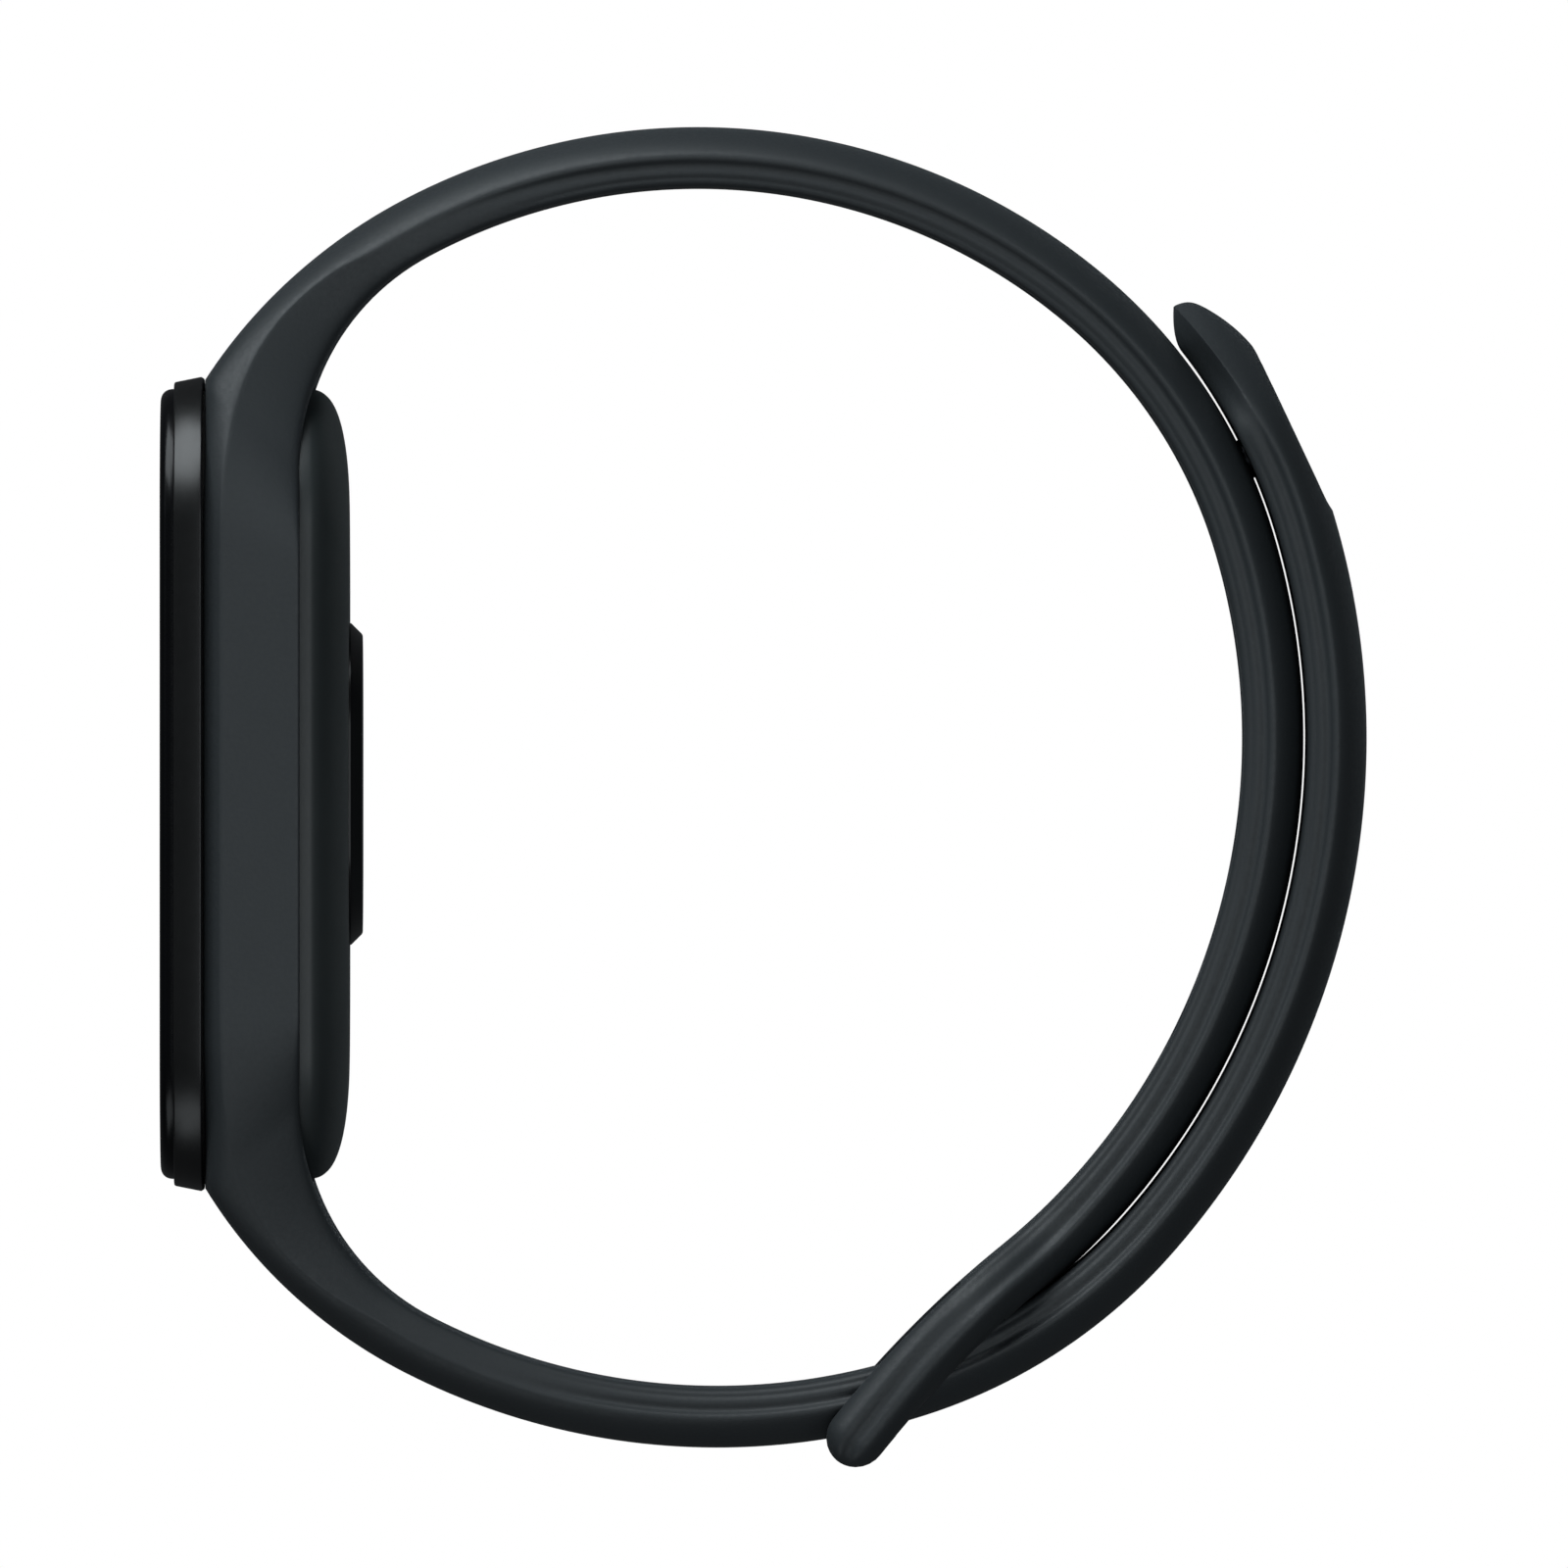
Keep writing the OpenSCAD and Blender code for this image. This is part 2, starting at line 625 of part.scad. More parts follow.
module motor_shaft() color("#d7dadd")
    pin_x(motor_d + motor_end_t, motor_h - 2 * motor_end_t, shaft_r, 0, motor_z);

// Half a disc of heavy metal, so that it shakes as it spins; it hangs towards -Z
module motor_rotor() color("#8c6f3a") difference() {
    front = motor_d + motor_end_t + rotor_gap;
    thick = motor_h - 2 * motor_end_t - 2 * rotor_gap - magnet_t;
    rim_gap = 0.35;
    hub_wall = 0.6;
    intersection() {
        pin_x(front, thick, motor_r - motor_wall - rim_gap, 0, motor_z);
        union() {
            block(front - over, thick + 2 * over, 2 * motor_r, motor_r,
                0, motor_z - motor_r / 2);
            pin_x(front - over, thick + 2 * over, shaft_r + hub_wall, 0, motor_z);
        }
    }
    pin_x(front - over, thick + 2 * over, shaft_r + run_gap, 0, motor_z);
}

module motor_leads() color("#c0392b") for (s = [-1, 1]) {
    back = motor_d + motor_h;
    strip_w = 0.8;
    strip_l = 1.4;
    strip_y = 1.2;
    block(back, flex_t, strip_w, strip_l, s * strip_y, motor_z + motor_r);
    block(back, board_d - back, strip_w, flex_t, s * strip_y,
        motor_z + motor_r + strip_l / 2);
}

// ---- Main board ----

module main_board() color("#17452c")
    plate(board_d, board_t) slab(board_w, board_l, cavity_r - board_in / 2);

module shield_can() color("#c5c8ca") difference() {
    block(board_back_d, can_h, can_w, can_l, 0, can_z);
    block(board_back_d - eps, can_h - can_wall + eps, can_w - 2 * can_wall,
        can_l - 2 * can_wall, 0, can_z);
}
module processor_chip() color("#161719") on_board(processor);
module flash_chip() color("#1b1c1f") on_board(flash);
module power_chip() color("#18191b") on_board(power);
module motion_sensor() color("#202225") on_board(motion);
module crystals() color("#caccce") {
    on_board(crystal_a);
    on_board(crystal_b);
}
module antenna() color("#d9b45a") {
    wide = 9;
    deep = 1.6;
    end_in = 3.2;
    block(board_back_d, can_h, wide, deep, 0, board_l / 2 - end_in);
}

// ---- Sensors and contacts ----

module sensor_board() color("#123b27") {
    rim = 1;
    plate(floor_d - sensor_board_t, sensor_board_t)
        slab(plug_w + 2 * rim, plug_l + 2 * rim, plug_w / 2);
}

module sensor_flex() color("#a8642a") sheet(flex_w) {
    x0 = board_back_d - glass_reach;
    x1 = floor_d - sensor_board_t - glass_reach;
    z0 = 6.6;
    z1 = z0 + 0.6;
    z2 = z0 + 2.4;
    polygon([[x0, z2], [x0, z0], [x0 + flex_t, z0], [x0 + flex_t, z2 - flex_t],
        [x1 - flex_t, z2 - flex_t], [x1 - flex_t, z1], [x1, z1], [x1, z2]]);
}

module green_leds() color("#3fbf5f") for (s = [-1, 1]) {
    size = 1.6;
    led_y = 1.3;
    block(floor_d, led_t, size, size, s * led_y, 0);
}

module photodiodes() color("#22262b") for (s = [-1, 1]) {
    size = 3;
    block(floor_d, led_t, size, size, 0, s * diode_z);
}

// The part of the sensor that plugs into the shell's opening
module plug(depth, thick) plate(depth, thick)
    slab(plug_w - 2 * plug_gap, plug_l - 2 * plug_gap, plug_w / 2 - 2 * plug_gap);

module light_barrier() color("#101112") difference() {
    led_room_w = 4.8;
    led_room_l = 2.2;
    diode_room = 3.4;
    plug(floor_d, shell_wall / 2);
    block(floor_d - over, 3 * over, led_room_w, led_room_l);
    for (s = [-1, 1])
        block(floor_d - over, 3 * over, diode_room, diode_room, 0, s * diode_z);
}

module sensor_window() color("#0d0f10") {
    step = 0.3;
    step_in = 0.4;
    bump_r = bump_w / 2 - 0.2;
    plug(floor_d + shell_wall / 2, shell_wall / 2 + eps);
    plate(capsule_t, step) slab(bump_w, bump_l, bump_r);
    plate(capsule_t + step - eps, bump_t - step + eps)
        slab(bump_w - 2 * step_in, bump_l - 2 * step_in, bump_r - step_in);
}

module shell_seal() color("#1a1a1a") plate(bezel_back_d, seal_t) difference() {
    rim = 0.1;
    slab(shell_w - 2 * rim, shell_l - 2 * rim, shell_r - rim);
    slab(cavity_w + 2 * rim, cavity_l + 2 * rim, cavity_r + rim);
}

// The back's round edge is a stack of thin layers that sit further in towards the back
module back_shell() color("#1e2223") difference() {
    round_in = 4.6;
    round_t = 1.8;
    layer_t = 0.05;
    layer_step = 15;
    hull() {
        plate(shell_d, 2 * skin_t) slab(shell_w, shell_l, shell_r);
        for (a = [0:layer_step:90]) {
            inset = round_in * (1 - cos(a));
            plate(capsule_t - round_t * (1 - sin(a)) - layer_t, layer_t)
                slab(shell_w - 2 * inset, shell_l - 2 * inset, shell_r - inset / 2);
        }
    }
    plate(shell_d - over, floor_d - cavity_step - shell_d + over) slab(cavity_w, cavity_l, cavity_r);
    plate(shell_d, floor_d - shell_d)
        slab(cavity_w - 2 * cavity_step, cavity_l - 2 * cavity_step, cavity_r - cavity_step);
    plate(shell_d, capsule_t) slab(plug_w, plug_l, plug_w / 2 - plug_gap);
    for (s = [-1, 1])
        pin_x(shell_d, capsule_t, contact_r, s * contact_y, contact_z);
}

module charge_contacts() color("#d8b04a") for (s = [-1, 1]) {
    pin_x(floor_d - contact_flange_t, contact_flange_t, contact_flange_r,
        s * contact_y, contact_z);
    pin_x(floor_d - eps, shell_wall + eps, contact_r - contact_fit, s * contact_y, contact_z);
}

module contact_springs() color("#d9b45a") for (s = [-1, 1])
    translate([0, s * contact_y, 0]) sheet(contact_r) {
        x0 = board_back_d - glass_reach;
        x1 = floor_d - contact_flange_t - glass_reach;
        z0 = contact_z - 1.4;
        z1 = z0 + 2.5;
        tip_z = z0 + 0.9;
        thick = 0.4;
        polygon([[x0, z0], [x0 + flex_t, z0], [x0 + flex_t, z1], [x1, tip_z],
            [x1, tip_z + thick], [x0, z1 + thick]]);
    }

cradle();
upper_strap();
lower_strap();
strap_tail();
snap_peg();
cover_glass();
glass_adhesive();
bezel_frame();
display_panel();
display_backlight();
display_flex();
inner_frame();
battery_tape();
battery_cell();
battery_board();
battery_leads();
motor_case();
motor_cap();
motor_magnet();
motor_shaft();
motor_rotor();
motor_leads();
main_board();
processor_chip();
flash_chip();
power_chip();
motion_sensor();
crystals();
shield_can();
antenna();
sensor_board();
sensor_flex();
green_leds();
photodiodes();
light_barrier();
sensor_window();
shell_seal();
back_shell();
charge_contacts();
contact_springs();
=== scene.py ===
import math

import bmesh
import bpy
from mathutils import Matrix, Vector


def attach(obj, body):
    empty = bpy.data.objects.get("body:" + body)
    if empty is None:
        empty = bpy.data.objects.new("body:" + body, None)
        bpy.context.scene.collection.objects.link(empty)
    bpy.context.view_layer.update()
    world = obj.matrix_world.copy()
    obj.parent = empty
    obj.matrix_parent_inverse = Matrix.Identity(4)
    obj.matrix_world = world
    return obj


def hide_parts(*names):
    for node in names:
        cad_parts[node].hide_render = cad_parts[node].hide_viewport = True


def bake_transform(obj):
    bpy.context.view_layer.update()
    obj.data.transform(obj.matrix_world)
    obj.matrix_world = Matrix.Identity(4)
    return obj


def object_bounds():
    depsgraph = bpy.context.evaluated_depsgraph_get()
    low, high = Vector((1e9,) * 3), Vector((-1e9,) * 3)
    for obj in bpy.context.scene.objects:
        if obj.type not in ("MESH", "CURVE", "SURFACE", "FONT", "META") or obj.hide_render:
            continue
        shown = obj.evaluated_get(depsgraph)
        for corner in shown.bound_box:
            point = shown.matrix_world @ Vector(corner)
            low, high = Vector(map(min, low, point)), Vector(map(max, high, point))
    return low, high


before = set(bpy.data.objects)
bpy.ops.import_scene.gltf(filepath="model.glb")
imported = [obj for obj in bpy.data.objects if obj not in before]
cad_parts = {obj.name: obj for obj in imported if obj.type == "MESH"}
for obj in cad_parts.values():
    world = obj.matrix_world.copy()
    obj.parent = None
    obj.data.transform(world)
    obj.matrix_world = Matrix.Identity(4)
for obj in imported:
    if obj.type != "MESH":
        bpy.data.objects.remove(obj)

CAD_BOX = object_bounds()

# Sizes and places are in millimetres, in the frame of the CAD: the origin is the middle of
# the wrist opening, +Z up the display, and the display looks along -X.
MM = 0.001

# Strap
STRAP_T = 3.15
STRAP_HALF = 8.5
LAP_GAP = 0.15
LOOP_HALF = 11.0
SHOULDER_HALF = 12.6
CRADLE_ROOM = (23.1, 41.4, 7.0)

# Peg and its holes
PEG_HOLES = 11
HOLES_ABOVE_PEG = 4
HOLE_PITCH = 5.5
HOLE_WIDE, HOLE_LONG = 2.84, 3.84
RECESS_W = 5.04
PEG_CAP_R, PEG_NECK_R = 2.6, 1.08
PEG_CAP_T, PEG_CAP_SUNK = .8, .42

# Capsule: places along X, then (width, length, corner radius)
GLASS_FRONT, GLASS_BACK = -32.5, -31.5
BEZEL_FRONT, BEZEL_BACK = -31.8, -30.3
SHELL_BACK, WINDOW_BACK = -22.7, -22.0
TOOL_FRONT = -34
GLASS = (24.1, 41.2, 6.85)
BEZEL = (25.4, 42.5, 7.5)
SHELL = (22.9, 41.2, 6.9)
WINDOW = (11.2, 16.8, 5.4)
WINDOW_HOLE = (10, 15.6, 4.95)
CONTACT_Y, CONTACT_Z, PAD_R = 2.75, -12.5, 1.2


# ---------------------------------------------------------------- working by hand

def start_fresh():
    """Leaves edit mode and selects nothing."""
    if bpy.context.object and bpy.context.object.mode != "OBJECT":
        bpy.ops.object.mode_set(mode="OBJECT")
    bpy.ops.object.select_all(action="DESELECT")


def take(obj):
    """Makes a piece the only one selected, and the active one."""
    start_fresh()
    obj.select_set(True)
    bpy.context.view_layer.objects.active = obj


def edit(obj):
    take(obj)
    bpy.ops.object.mode_set(mode="EDIT")


def leave_edit():
    bpy.ops.object.mode_set(mode="OBJECT")


def pick(kind, wanted):
    """Selects the faces or edges of the mesh in edit mode for which wanted(element) is true."""
    bpy.ops.mesh.select_mode(type=kind)
    bpy.ops.mesh.select_all(action="DESELECT")
    bm = bmesh.from_edit_mesh(bpy.context.object.data)
    for e in (bm.faces if kind == "FACE" else bm.edges):
        if wanted(e):
            e.select_set(True)
    bm.select_flush_mode()
    bmesh.update_edit_mesh(bpy.context.object.data)


def settle(obj, name):
    """Names a piece and puts its place into its mesh."""
    take(obj)
    bpy.ops.object.transform_apply(location=True, rotation=True, scale=True)
    obj.name = name
    obj.data.name = name
    return obj


def soften(obj, degrees):
    """Shades a piece smooth, except over edges sharper than an angle."""
    take(obj)
    bpy.ops.object.shade_smooth_by_angle(angle=math.radians(degrees))
    return obj


def cut(obj, tool):
    """Takes the tool's shape out of obj, then throws the tool away."""
    change = obj.modifiers.new("cut", "BOOLEAN")
    change.operation, change.solver, change.object = "DIFFERENCE", "EXACT", tool
    take(obj)
    bpy.ops.object.modifier_apply(modifier=change.name)
    bpy.data.objects.remove(tool)
    return obj


def joined(parts):
    """Several objects made one, which is the first of them."""
    start_fresh()
    for p in parts:
        p.select_set(True)
    bpy.context.view_layer.objects.active = parts[0]
    bpy.ops.object.join()
    return bpy.context.object


def slab(name, x0, x1, wide, long, corner, segments=14):
    """A plate square to X from x0 to x1 with round corners."""
    start_fresh()
    bpy.ops.mesh.primitive_cube_add(size=1, location=((x0 + x1) / 2 * MM, 0, 0))
    obj = bpy.context.object
    obj.scale = ((x1 - x0) * MM, wide * MM, long * MM)
    settle(obj, name)
    edit(obj)
    pick("EDGE", lambda e: abs((e.verts[0].co - e.verts[1].co).normalized().x) > 0.99)
    bpy.ops.mesh.bevel(offset=corner * MM, segments=segments, profile=0.5, affect="EDGES")
    leave_edit()
    return obj


def round_rim(obj, x, size, segments, profile=0.5):
    """Rounds the outline of a plate where it lies at x."""
    edit(obj)
    pick("EDGE", lambda e: all(abs(v.co.x - x * MM) < 1e-6 for v in e.verts))
    bpy.ops.mesh.bevel(offset=size * MM, segments=segments, profile=profile, affect="EDGES")
    leave_edit()


def shrink_rim(obj, x, by_wide, by_long):
    """Draws the face of a plate at x in by so much on each side."""
    edit(obj)
    pick("FACE", lambda f: all(abs(v.co.x - x * MM) < 1e-6 for v in f.verts))
    bm = bmesh.from_edit_mesh(obj.data)
    spread = [v.co for v in bm.verts if v.select]
    wide = max(c.y for c in spread)
    long = max(c.z for c in spread)
    bpy.ops.transform.resize(value=(1, 1 - by_wide * MM / wide, 1 - by_long * MM / long),
                             center_override=(x * MM, 0, 0))
    leave_edit()


def inset(size, by):
    """The (width, length, corner radius) of an outline drawn in on every side."""
    wide, long, corner = size
    return wide - 2 * by, long - 2 * by, corner - by


def rod(name, radius, length, x, y=0.0, z=0.0, vertices=40):
    """A cylinder along X about the place x, y, z."""
    start_fresh()
    bpy.ops.mesh.primitive_cylinder_add(vertices=vertices, radius=radius * MM,
                                        depth=length * MM, location=(x * MM, y * MM, z * MM),
                                        rotation=(0, math.pi / 2, 0))
    return settle(bpy.context.object, name)


def outline(wide, long, corner, x, segments=10):
    """A ring of points round a rounded rectangle square to X, in metres."""
    pts = []
    for cy, cz, a0 in ((1, 1, 0), (-1, 1, 90), (-1, -1, 180), (1, -1, 270)):
        for i in range(segments + 1):
            y, z = polar((cy * (wide / 2 - corner), cz * (long / 2 - corner)), corner,
                         a0 + 90 * i / segments)
            pts.append(Vector((x, y, z)) * MM)
    return pts


def drawn_out(name, rings):
    """A closed skin: a filled ring is drawn out from place to place. Rings are in metres."""
    start_fresh()
    bpy.ops.mesh.primitive_circle_add(vertices=len(rings[0]), radius=0.01, fill_type="NGON")
    obj = bpy.context.object
    bpy.ops.object.mode_set(mode="EDIT")
    bpy.ops.mesh.select_mode(type="FACE")
    bpy.ops.mesh.select_all(action="SELECT")
    bm = bmesh.from_edit_mesh(obj.data)
    place = bm.verts.layers.int.new("place")
    for i, corner in enumerate(list(bm.faces)[0].loops):
        corner.vert[place] = i
        corner.vert.co = rings[0][i]
    bmesh.update_edit_mesh(obj.data)
    for ring in rings[1:]:
        bpy.ops.mesh.extrude_region_move()
        bm = bmesh.from_edit_mesh(obj.data)
        place = bm.verts.layers.int["place"]
        for v in bm.verts:
            if v.select:
                v.co = ring[v[place]]
    bmesh.update_edit_mesh(obj.data)
    bpy.ops.mesh.select_all(action="SELECT")
    bpy.ops.mesh.normals_make_consistent(inside=False)
    leave_edit()
    obj.data.attributes.remove(obj.data.attributes["place"])
    return settle(obj, name)


# ---------------------------------------------------------------- the strap's path

def polar(c, r, a):
    """The point at radius r and angle a, in degrees, about a centre in the XZ plane."""
    return (c[0] + r * math.cos(math.radians(a)), c[1] + r * math.sin(math.radians(a)))


def angle_of(x, z):
    return math.degrees(math.atan2(z, x))


# The strap runs along arcs: C is a centre (x, z), R the radius of the face that lies between
# the laps, and A the angle at which an arc gives way to the next one.
UPPER_C1, UPPER_R1, UPPER_A1 = (-4.5, 1.3), 33.0, 50.0
UPPER_R2, UPPER_A2 = 28.0, 17.0
UPPER_R3, UPPER_A3 = 37.4, -50.8
LOOP_R, LOOP_L = 56.6, 3.7633 * STRAP_T
LOWER_C1, LOWER_R1, LOWER_R2 = (-3.5, 1.2), 32.7, 25.6
TAIL_TIP_A, PEG_A, PIVOT_A = 42.5, 25.0, 9.0
ROOT_R = 12.5
CRADLE_FRONT, CRADLE_BACK, CRADLE_END = -30.2, -25.2, 21.1

UPPER_C2 = polar(UPPER_C1, UPPER_R1 - UPPER_R2, UPPER_A1)
UPPER_C3 = polar(UPPER_C2, UPPER_R2 - UPPER_R3, UPPER_A2)
UPPER_END = polar(UPPER_C3, UPPER_R3, UPPER_A3)
LOOP_C = polar(UPPER_END, LOOP_R, UPPER_A3)
LOOP_A0 = UPPER_A3 + 180
LOOP_A1 = LOOP_A0 + math.degrees(LOOP_L / LOOP_R)
LAP_R3 = UPPER_R3 + LAP_GAP
LAP_R2 = UPPER_R2 + LAP_GAP

# The lower arm's second arc touches its first one and the lap
link = (UPPER_C3[0] - LOWER_C1[0], UPPER_C3[1] - LOWER_C1[1])
link_l = math.hypot(*link)
link_p = LOWER_R1 - LOWER_R2
link_q = LAP_R3 - LOWER_R2
link_cos = (link_p ** 2 + link_l ** 2 - link_q ** 2) / (2 * link_p * link_l)
LOWER_C2 = polar(LOWER_C1, link_p, angle_of(*link) + math.degrees(math.acos(link_cos)))
LOWER_A1 = angle_of(LOWER_C2[0] - LOWER_C1[0], LOWER_C2[1] - LOWER_C1[1])
LOWER_A2 = angle_of(LOWER_C2[0] - UPPER_C3[0], LOWER_C2[1] - UPPER_C3[1])


def root_centre(c, inner_r, side):
    """Centre of the arc that leads an arm's inner face on to the back of the cradle."""
    x = CRADLE_BACK + ROOT_R
    return (x, c[1] + side * math.sqrt((inner_r - ROOT_R) ** 2 - (x - c[0]) ** 2))


UPPER_ROOT = root_centre(UPPER_C1, UPPER_R1 - STRAP_T, 1)
LOWER_ROOT = root_centre(LOWER_C1, LOWER_R1, -1)
UPPER_A0 = angle_of(UPPER_ROOT[0] - UPPER_C1[0], UPPER_ROOT[1] - UPPER_C1[1])
LOWER_A0 = angle_of(LOWER_ROOT[0] - LOWER_C1[0], LOWER_ROOT[1] - LOWER_C1[1])


def corner_arc(c, r, a, p):
    """The arc from a strap's outer face at angle a to the cradle's corner p."""
    u = (math.cos(math.radians(a)), math.sin(math.radians(a)))
    d = (p[0] - c[0], p[1] - c[1])
    e = (d[0] - r * u[0], d[1] - r * u[1])
    s = (e[0] ** 2 + e[1] ** 2) / (2 * (r - d[0] * u[0] - d[1] * u[1]))
    m = polar(c, r - s, a)
    return m, s, angle_of(p[0] - m[0], p[1] - m[1])


# ---------------------------------------------------------------- the strap's section

# Half sections from the middle of the inner face to the middle of the outer face:
# (share of the thickness, share of the half width). All have as many points, and point
# RIDGE_POINT is the ridge, which a section moves to its own share of the thickness.
RIDGE_POINT = 18
ARM = [(0, 0), (0, .3), (0, .6), (0, .8), (0, .885), (.008, .913), (.03, .934), (.065, .948),
       (.105, .9535), (.130, .953), (.155, .9575), (.18, .9645), (.22, .970), (.27, .969),
       (.315, .962), (.345, .961), (.375, .966), (.40, .977), (.425, .989), (.45, .9965),
       (.49, 1), (.55, .991), (.62, .968), (.70, .934), (.78, .888), (.85, .833),
       (.91, .77), (.955, .68), (.985, .51), (.997, .27), (1, 0)]
PLAIN = [(0, 0), (0, .3), (0, .6), (0, .8), (0, .90), (.004, .925), (.014, .942), (.03, .954),
         (.055, .963), (.09, .970), (.13, .975), (.17, .979), (.22, .983), (.27, .986),
         (.31, .989), (.35, .991), (.38, .993), (.405, .995), (.425, .996), (.45, .9955),
         (.49, .992), (.55, .980), (.62, .958), (.70, .926), (.78, .884), (.85, .833),
         (.91, .77), (.955, .68), (.985, .51), (.997, .27), (1, 0)]
TIP = [(0, 0), (0, .15), (0, .3), (0, .42), (0, .50), (.012, .54), (.03, .575), (.055, .61),
       (.085, .65), (.115, .69), (.15, .73), (.19, .77), (.23, .81), (.275, .855), (.32, .90),
       (.36, .94), (.39, .97), (.41, .988), (.425, 1), (.44, .994), (.48, .974), (.54, .945),
       (.61, .91), (.69, .865), (.77, .81), (.84, .75), (.90, .67), (.95, .56), (.98, .42),
       (.995, .22), (1, 0)]
CRADLE = [(0, 0), (0, .3), (0, .6), (0, .8), (0, .93), (0, .975), (.002, .988), (.007, .996),
          (.018, .9995), (.05, 1), (.12, 1), (.2, 1), (.3, 1), (.4, 1), (.5, 1), (.6, 1),
          (.7, 1), (.78, 1), (.82, 1), (.828, .998), (.84, .994), (.87, .984), (.91, .971),
          (.95, .958), (.985, .947), (1, .94), (1, .9), (1, .8), (1, .55), (1, .27), (1, 0)]
RAIL = [(0, 0), (0, .3), (0, .6), (0, .76)] + [
    (.5 - .5 * math.cos(math.pi * i / 22), .857 + .143 * math.sin(math.pi * i / 22))
    for i in range(23)] + [(1, .76), (1, .55), (1, .27), (1, 0)]


ARM_RIDGE = ARM[RIDGE_POINT][0]
CRADLE_RIDGE = CRADLE[RIDGE_POINT][0]
ROOT_RIDGE = LOOP_RIDGE = .46


def mixed(a, b, t):
    return a + (b - a) * t


def eased(t):
    """Goes from 0 to 1 as t does, with a smooth start and end."""
    t = min(1.0, max(0.0, t))
    return t * t * (3 - 2 * t)


def section(half, ridge=ARM_RIDGE, cradle=0.0, rail=0.0, plain=0.0, tip=0.0, valley=None):
    """A full ring of (share of thickness, y) for a half width, with its ridge at a share."""
    pts = []
    for i, (f, v) in enumerate(ARM):
        f, v = mixed(f, PLAIN[i][0], plain), mixed(v, PLAIN[i][1], plain)
        f, v = mixed(f, TIP[i][0], tip), mixed(v, TIP[i][1], tip)
        if i <= RIDGE_POINT:
            flat_f = CRADLE[i][0] * ridge / CRADLE_RIDGE
            f = mixed(f * ridge / ARM_RIDGE, flat_f, cradle)
        else:
            flat_f = 1 - (1 - CRADLE[i][0]) * (1 - ridge) / (1 - CRADLE_RIDGE)
            f = mixed(1 - (1 - f) * (1 - ridge) / (1 - ARM_RIDGE), flat_f, cradle)
        v = mixed(v, CRADLE[i][1], cradle)
        f, v = mixed(f, RAIL[i][0], rail), mixed(v, RAIL[i][1], rail)
        if valley is not None:
            v -= .03 * rail * math.exp(-((f - valley) / .13) ** 2)
        pts.append((f, v * half))
    return pts + [(f, -y) for f, y in pts[-2:0:-1]]


def ring(inner, outer, shape):
    """The ring of a section between a point on the inner face and one on the outer face."""
    return [Vector((mixed(inner[0], outer[0], f), y, mixed(inner[1], outer[1], f))) * MM
            for f, y in shape]


def arc_steps(a0, a1, r, every=0.6):
    """Angles from a0 to a1 in even steps, no longer than so much along the arc."""
    n = max(2, math.ceil(abs(math.radians(a1 - a0)) * r / every))
    return [a0 + (a1 - a0) * i / n for i in range(n + 1)]


# The crest line from the cradle's front bevel up to the arm, as (x, z) on the upper side
CREST = [(-29.36, 8), (-29.35, 11), (-29.31, 13.8), (-29.15, 16.4), (-28.78, 18.6),
         (-28.24, 20.55), (-27.46, 22.35), (-26.3, 24.1), (-24.86, 25.56), (-23.3, 26.75),
         (-21.53, 27.8), (-19.57, 28.78), (-17.5, 29.62), (-15.2, 30.45)]


def crest_share(inner, outer, side):
    """Share of the way from an inner to an outer point at which the crest crosses it."""
    dx, dz = outer[0] - inner[0], outer[1] - inner[1]
    best = None
    for k in range(1, len(CREST) - 2):
        p0, p1, p2, p3 = CREST[k - 1:k + 3]
        for j in range(12):
            ends = []
            for t in (j / 12, (j + 1) / 12):
                ends.append([.5 * (2 * b + (c - a) * t + (2 * a - 5 * b + 4 * c - d) * t * t
                                   + (3 * b - a - 3 * c + d) * t ** 3)
                             for a, b, c, d in zip(p0, p1, p2, p3)])
            (x0, z0), (x1, z1) = ends
            ex, ez = x1 - x0, side * (z1 - z0)
            det = ex * dz - ez * dx
            if abs(det) < 1e-12:
                continue
            rx, rz = inner[0] - x0, inner[1] - side * z0
            along, share = (rx * dz - rz * dx) / det, (rx * ez - rz * ex) / det
            if -1e-6 <= along <= 1 + 1e-6 and .1 < share < .98:
                best = share
    return best


def shoulder(z):
    """Half the width of the cradle and its shoulders at a height from the middle."""
    return mixed(SHOULDER_HALF, STRAP_HALF, eased((abs(z) - 12.5) / 17.5))


# A root is drawn in ROOT_STEPS round its arc, at whose end its section has ROOT_CRADLE of the
# cradle's shape. SIDE_STEPS lead on to CRADLE_STRAIGHT, and MIDDLE_STEPS lie between the roots.
ROOT_STEPS, SIDE_STEPS, MIDDLE_STEPS = 26, 18, 8
ROOT_CRADLE = .45
CRADLE_STRAIGHT = 10


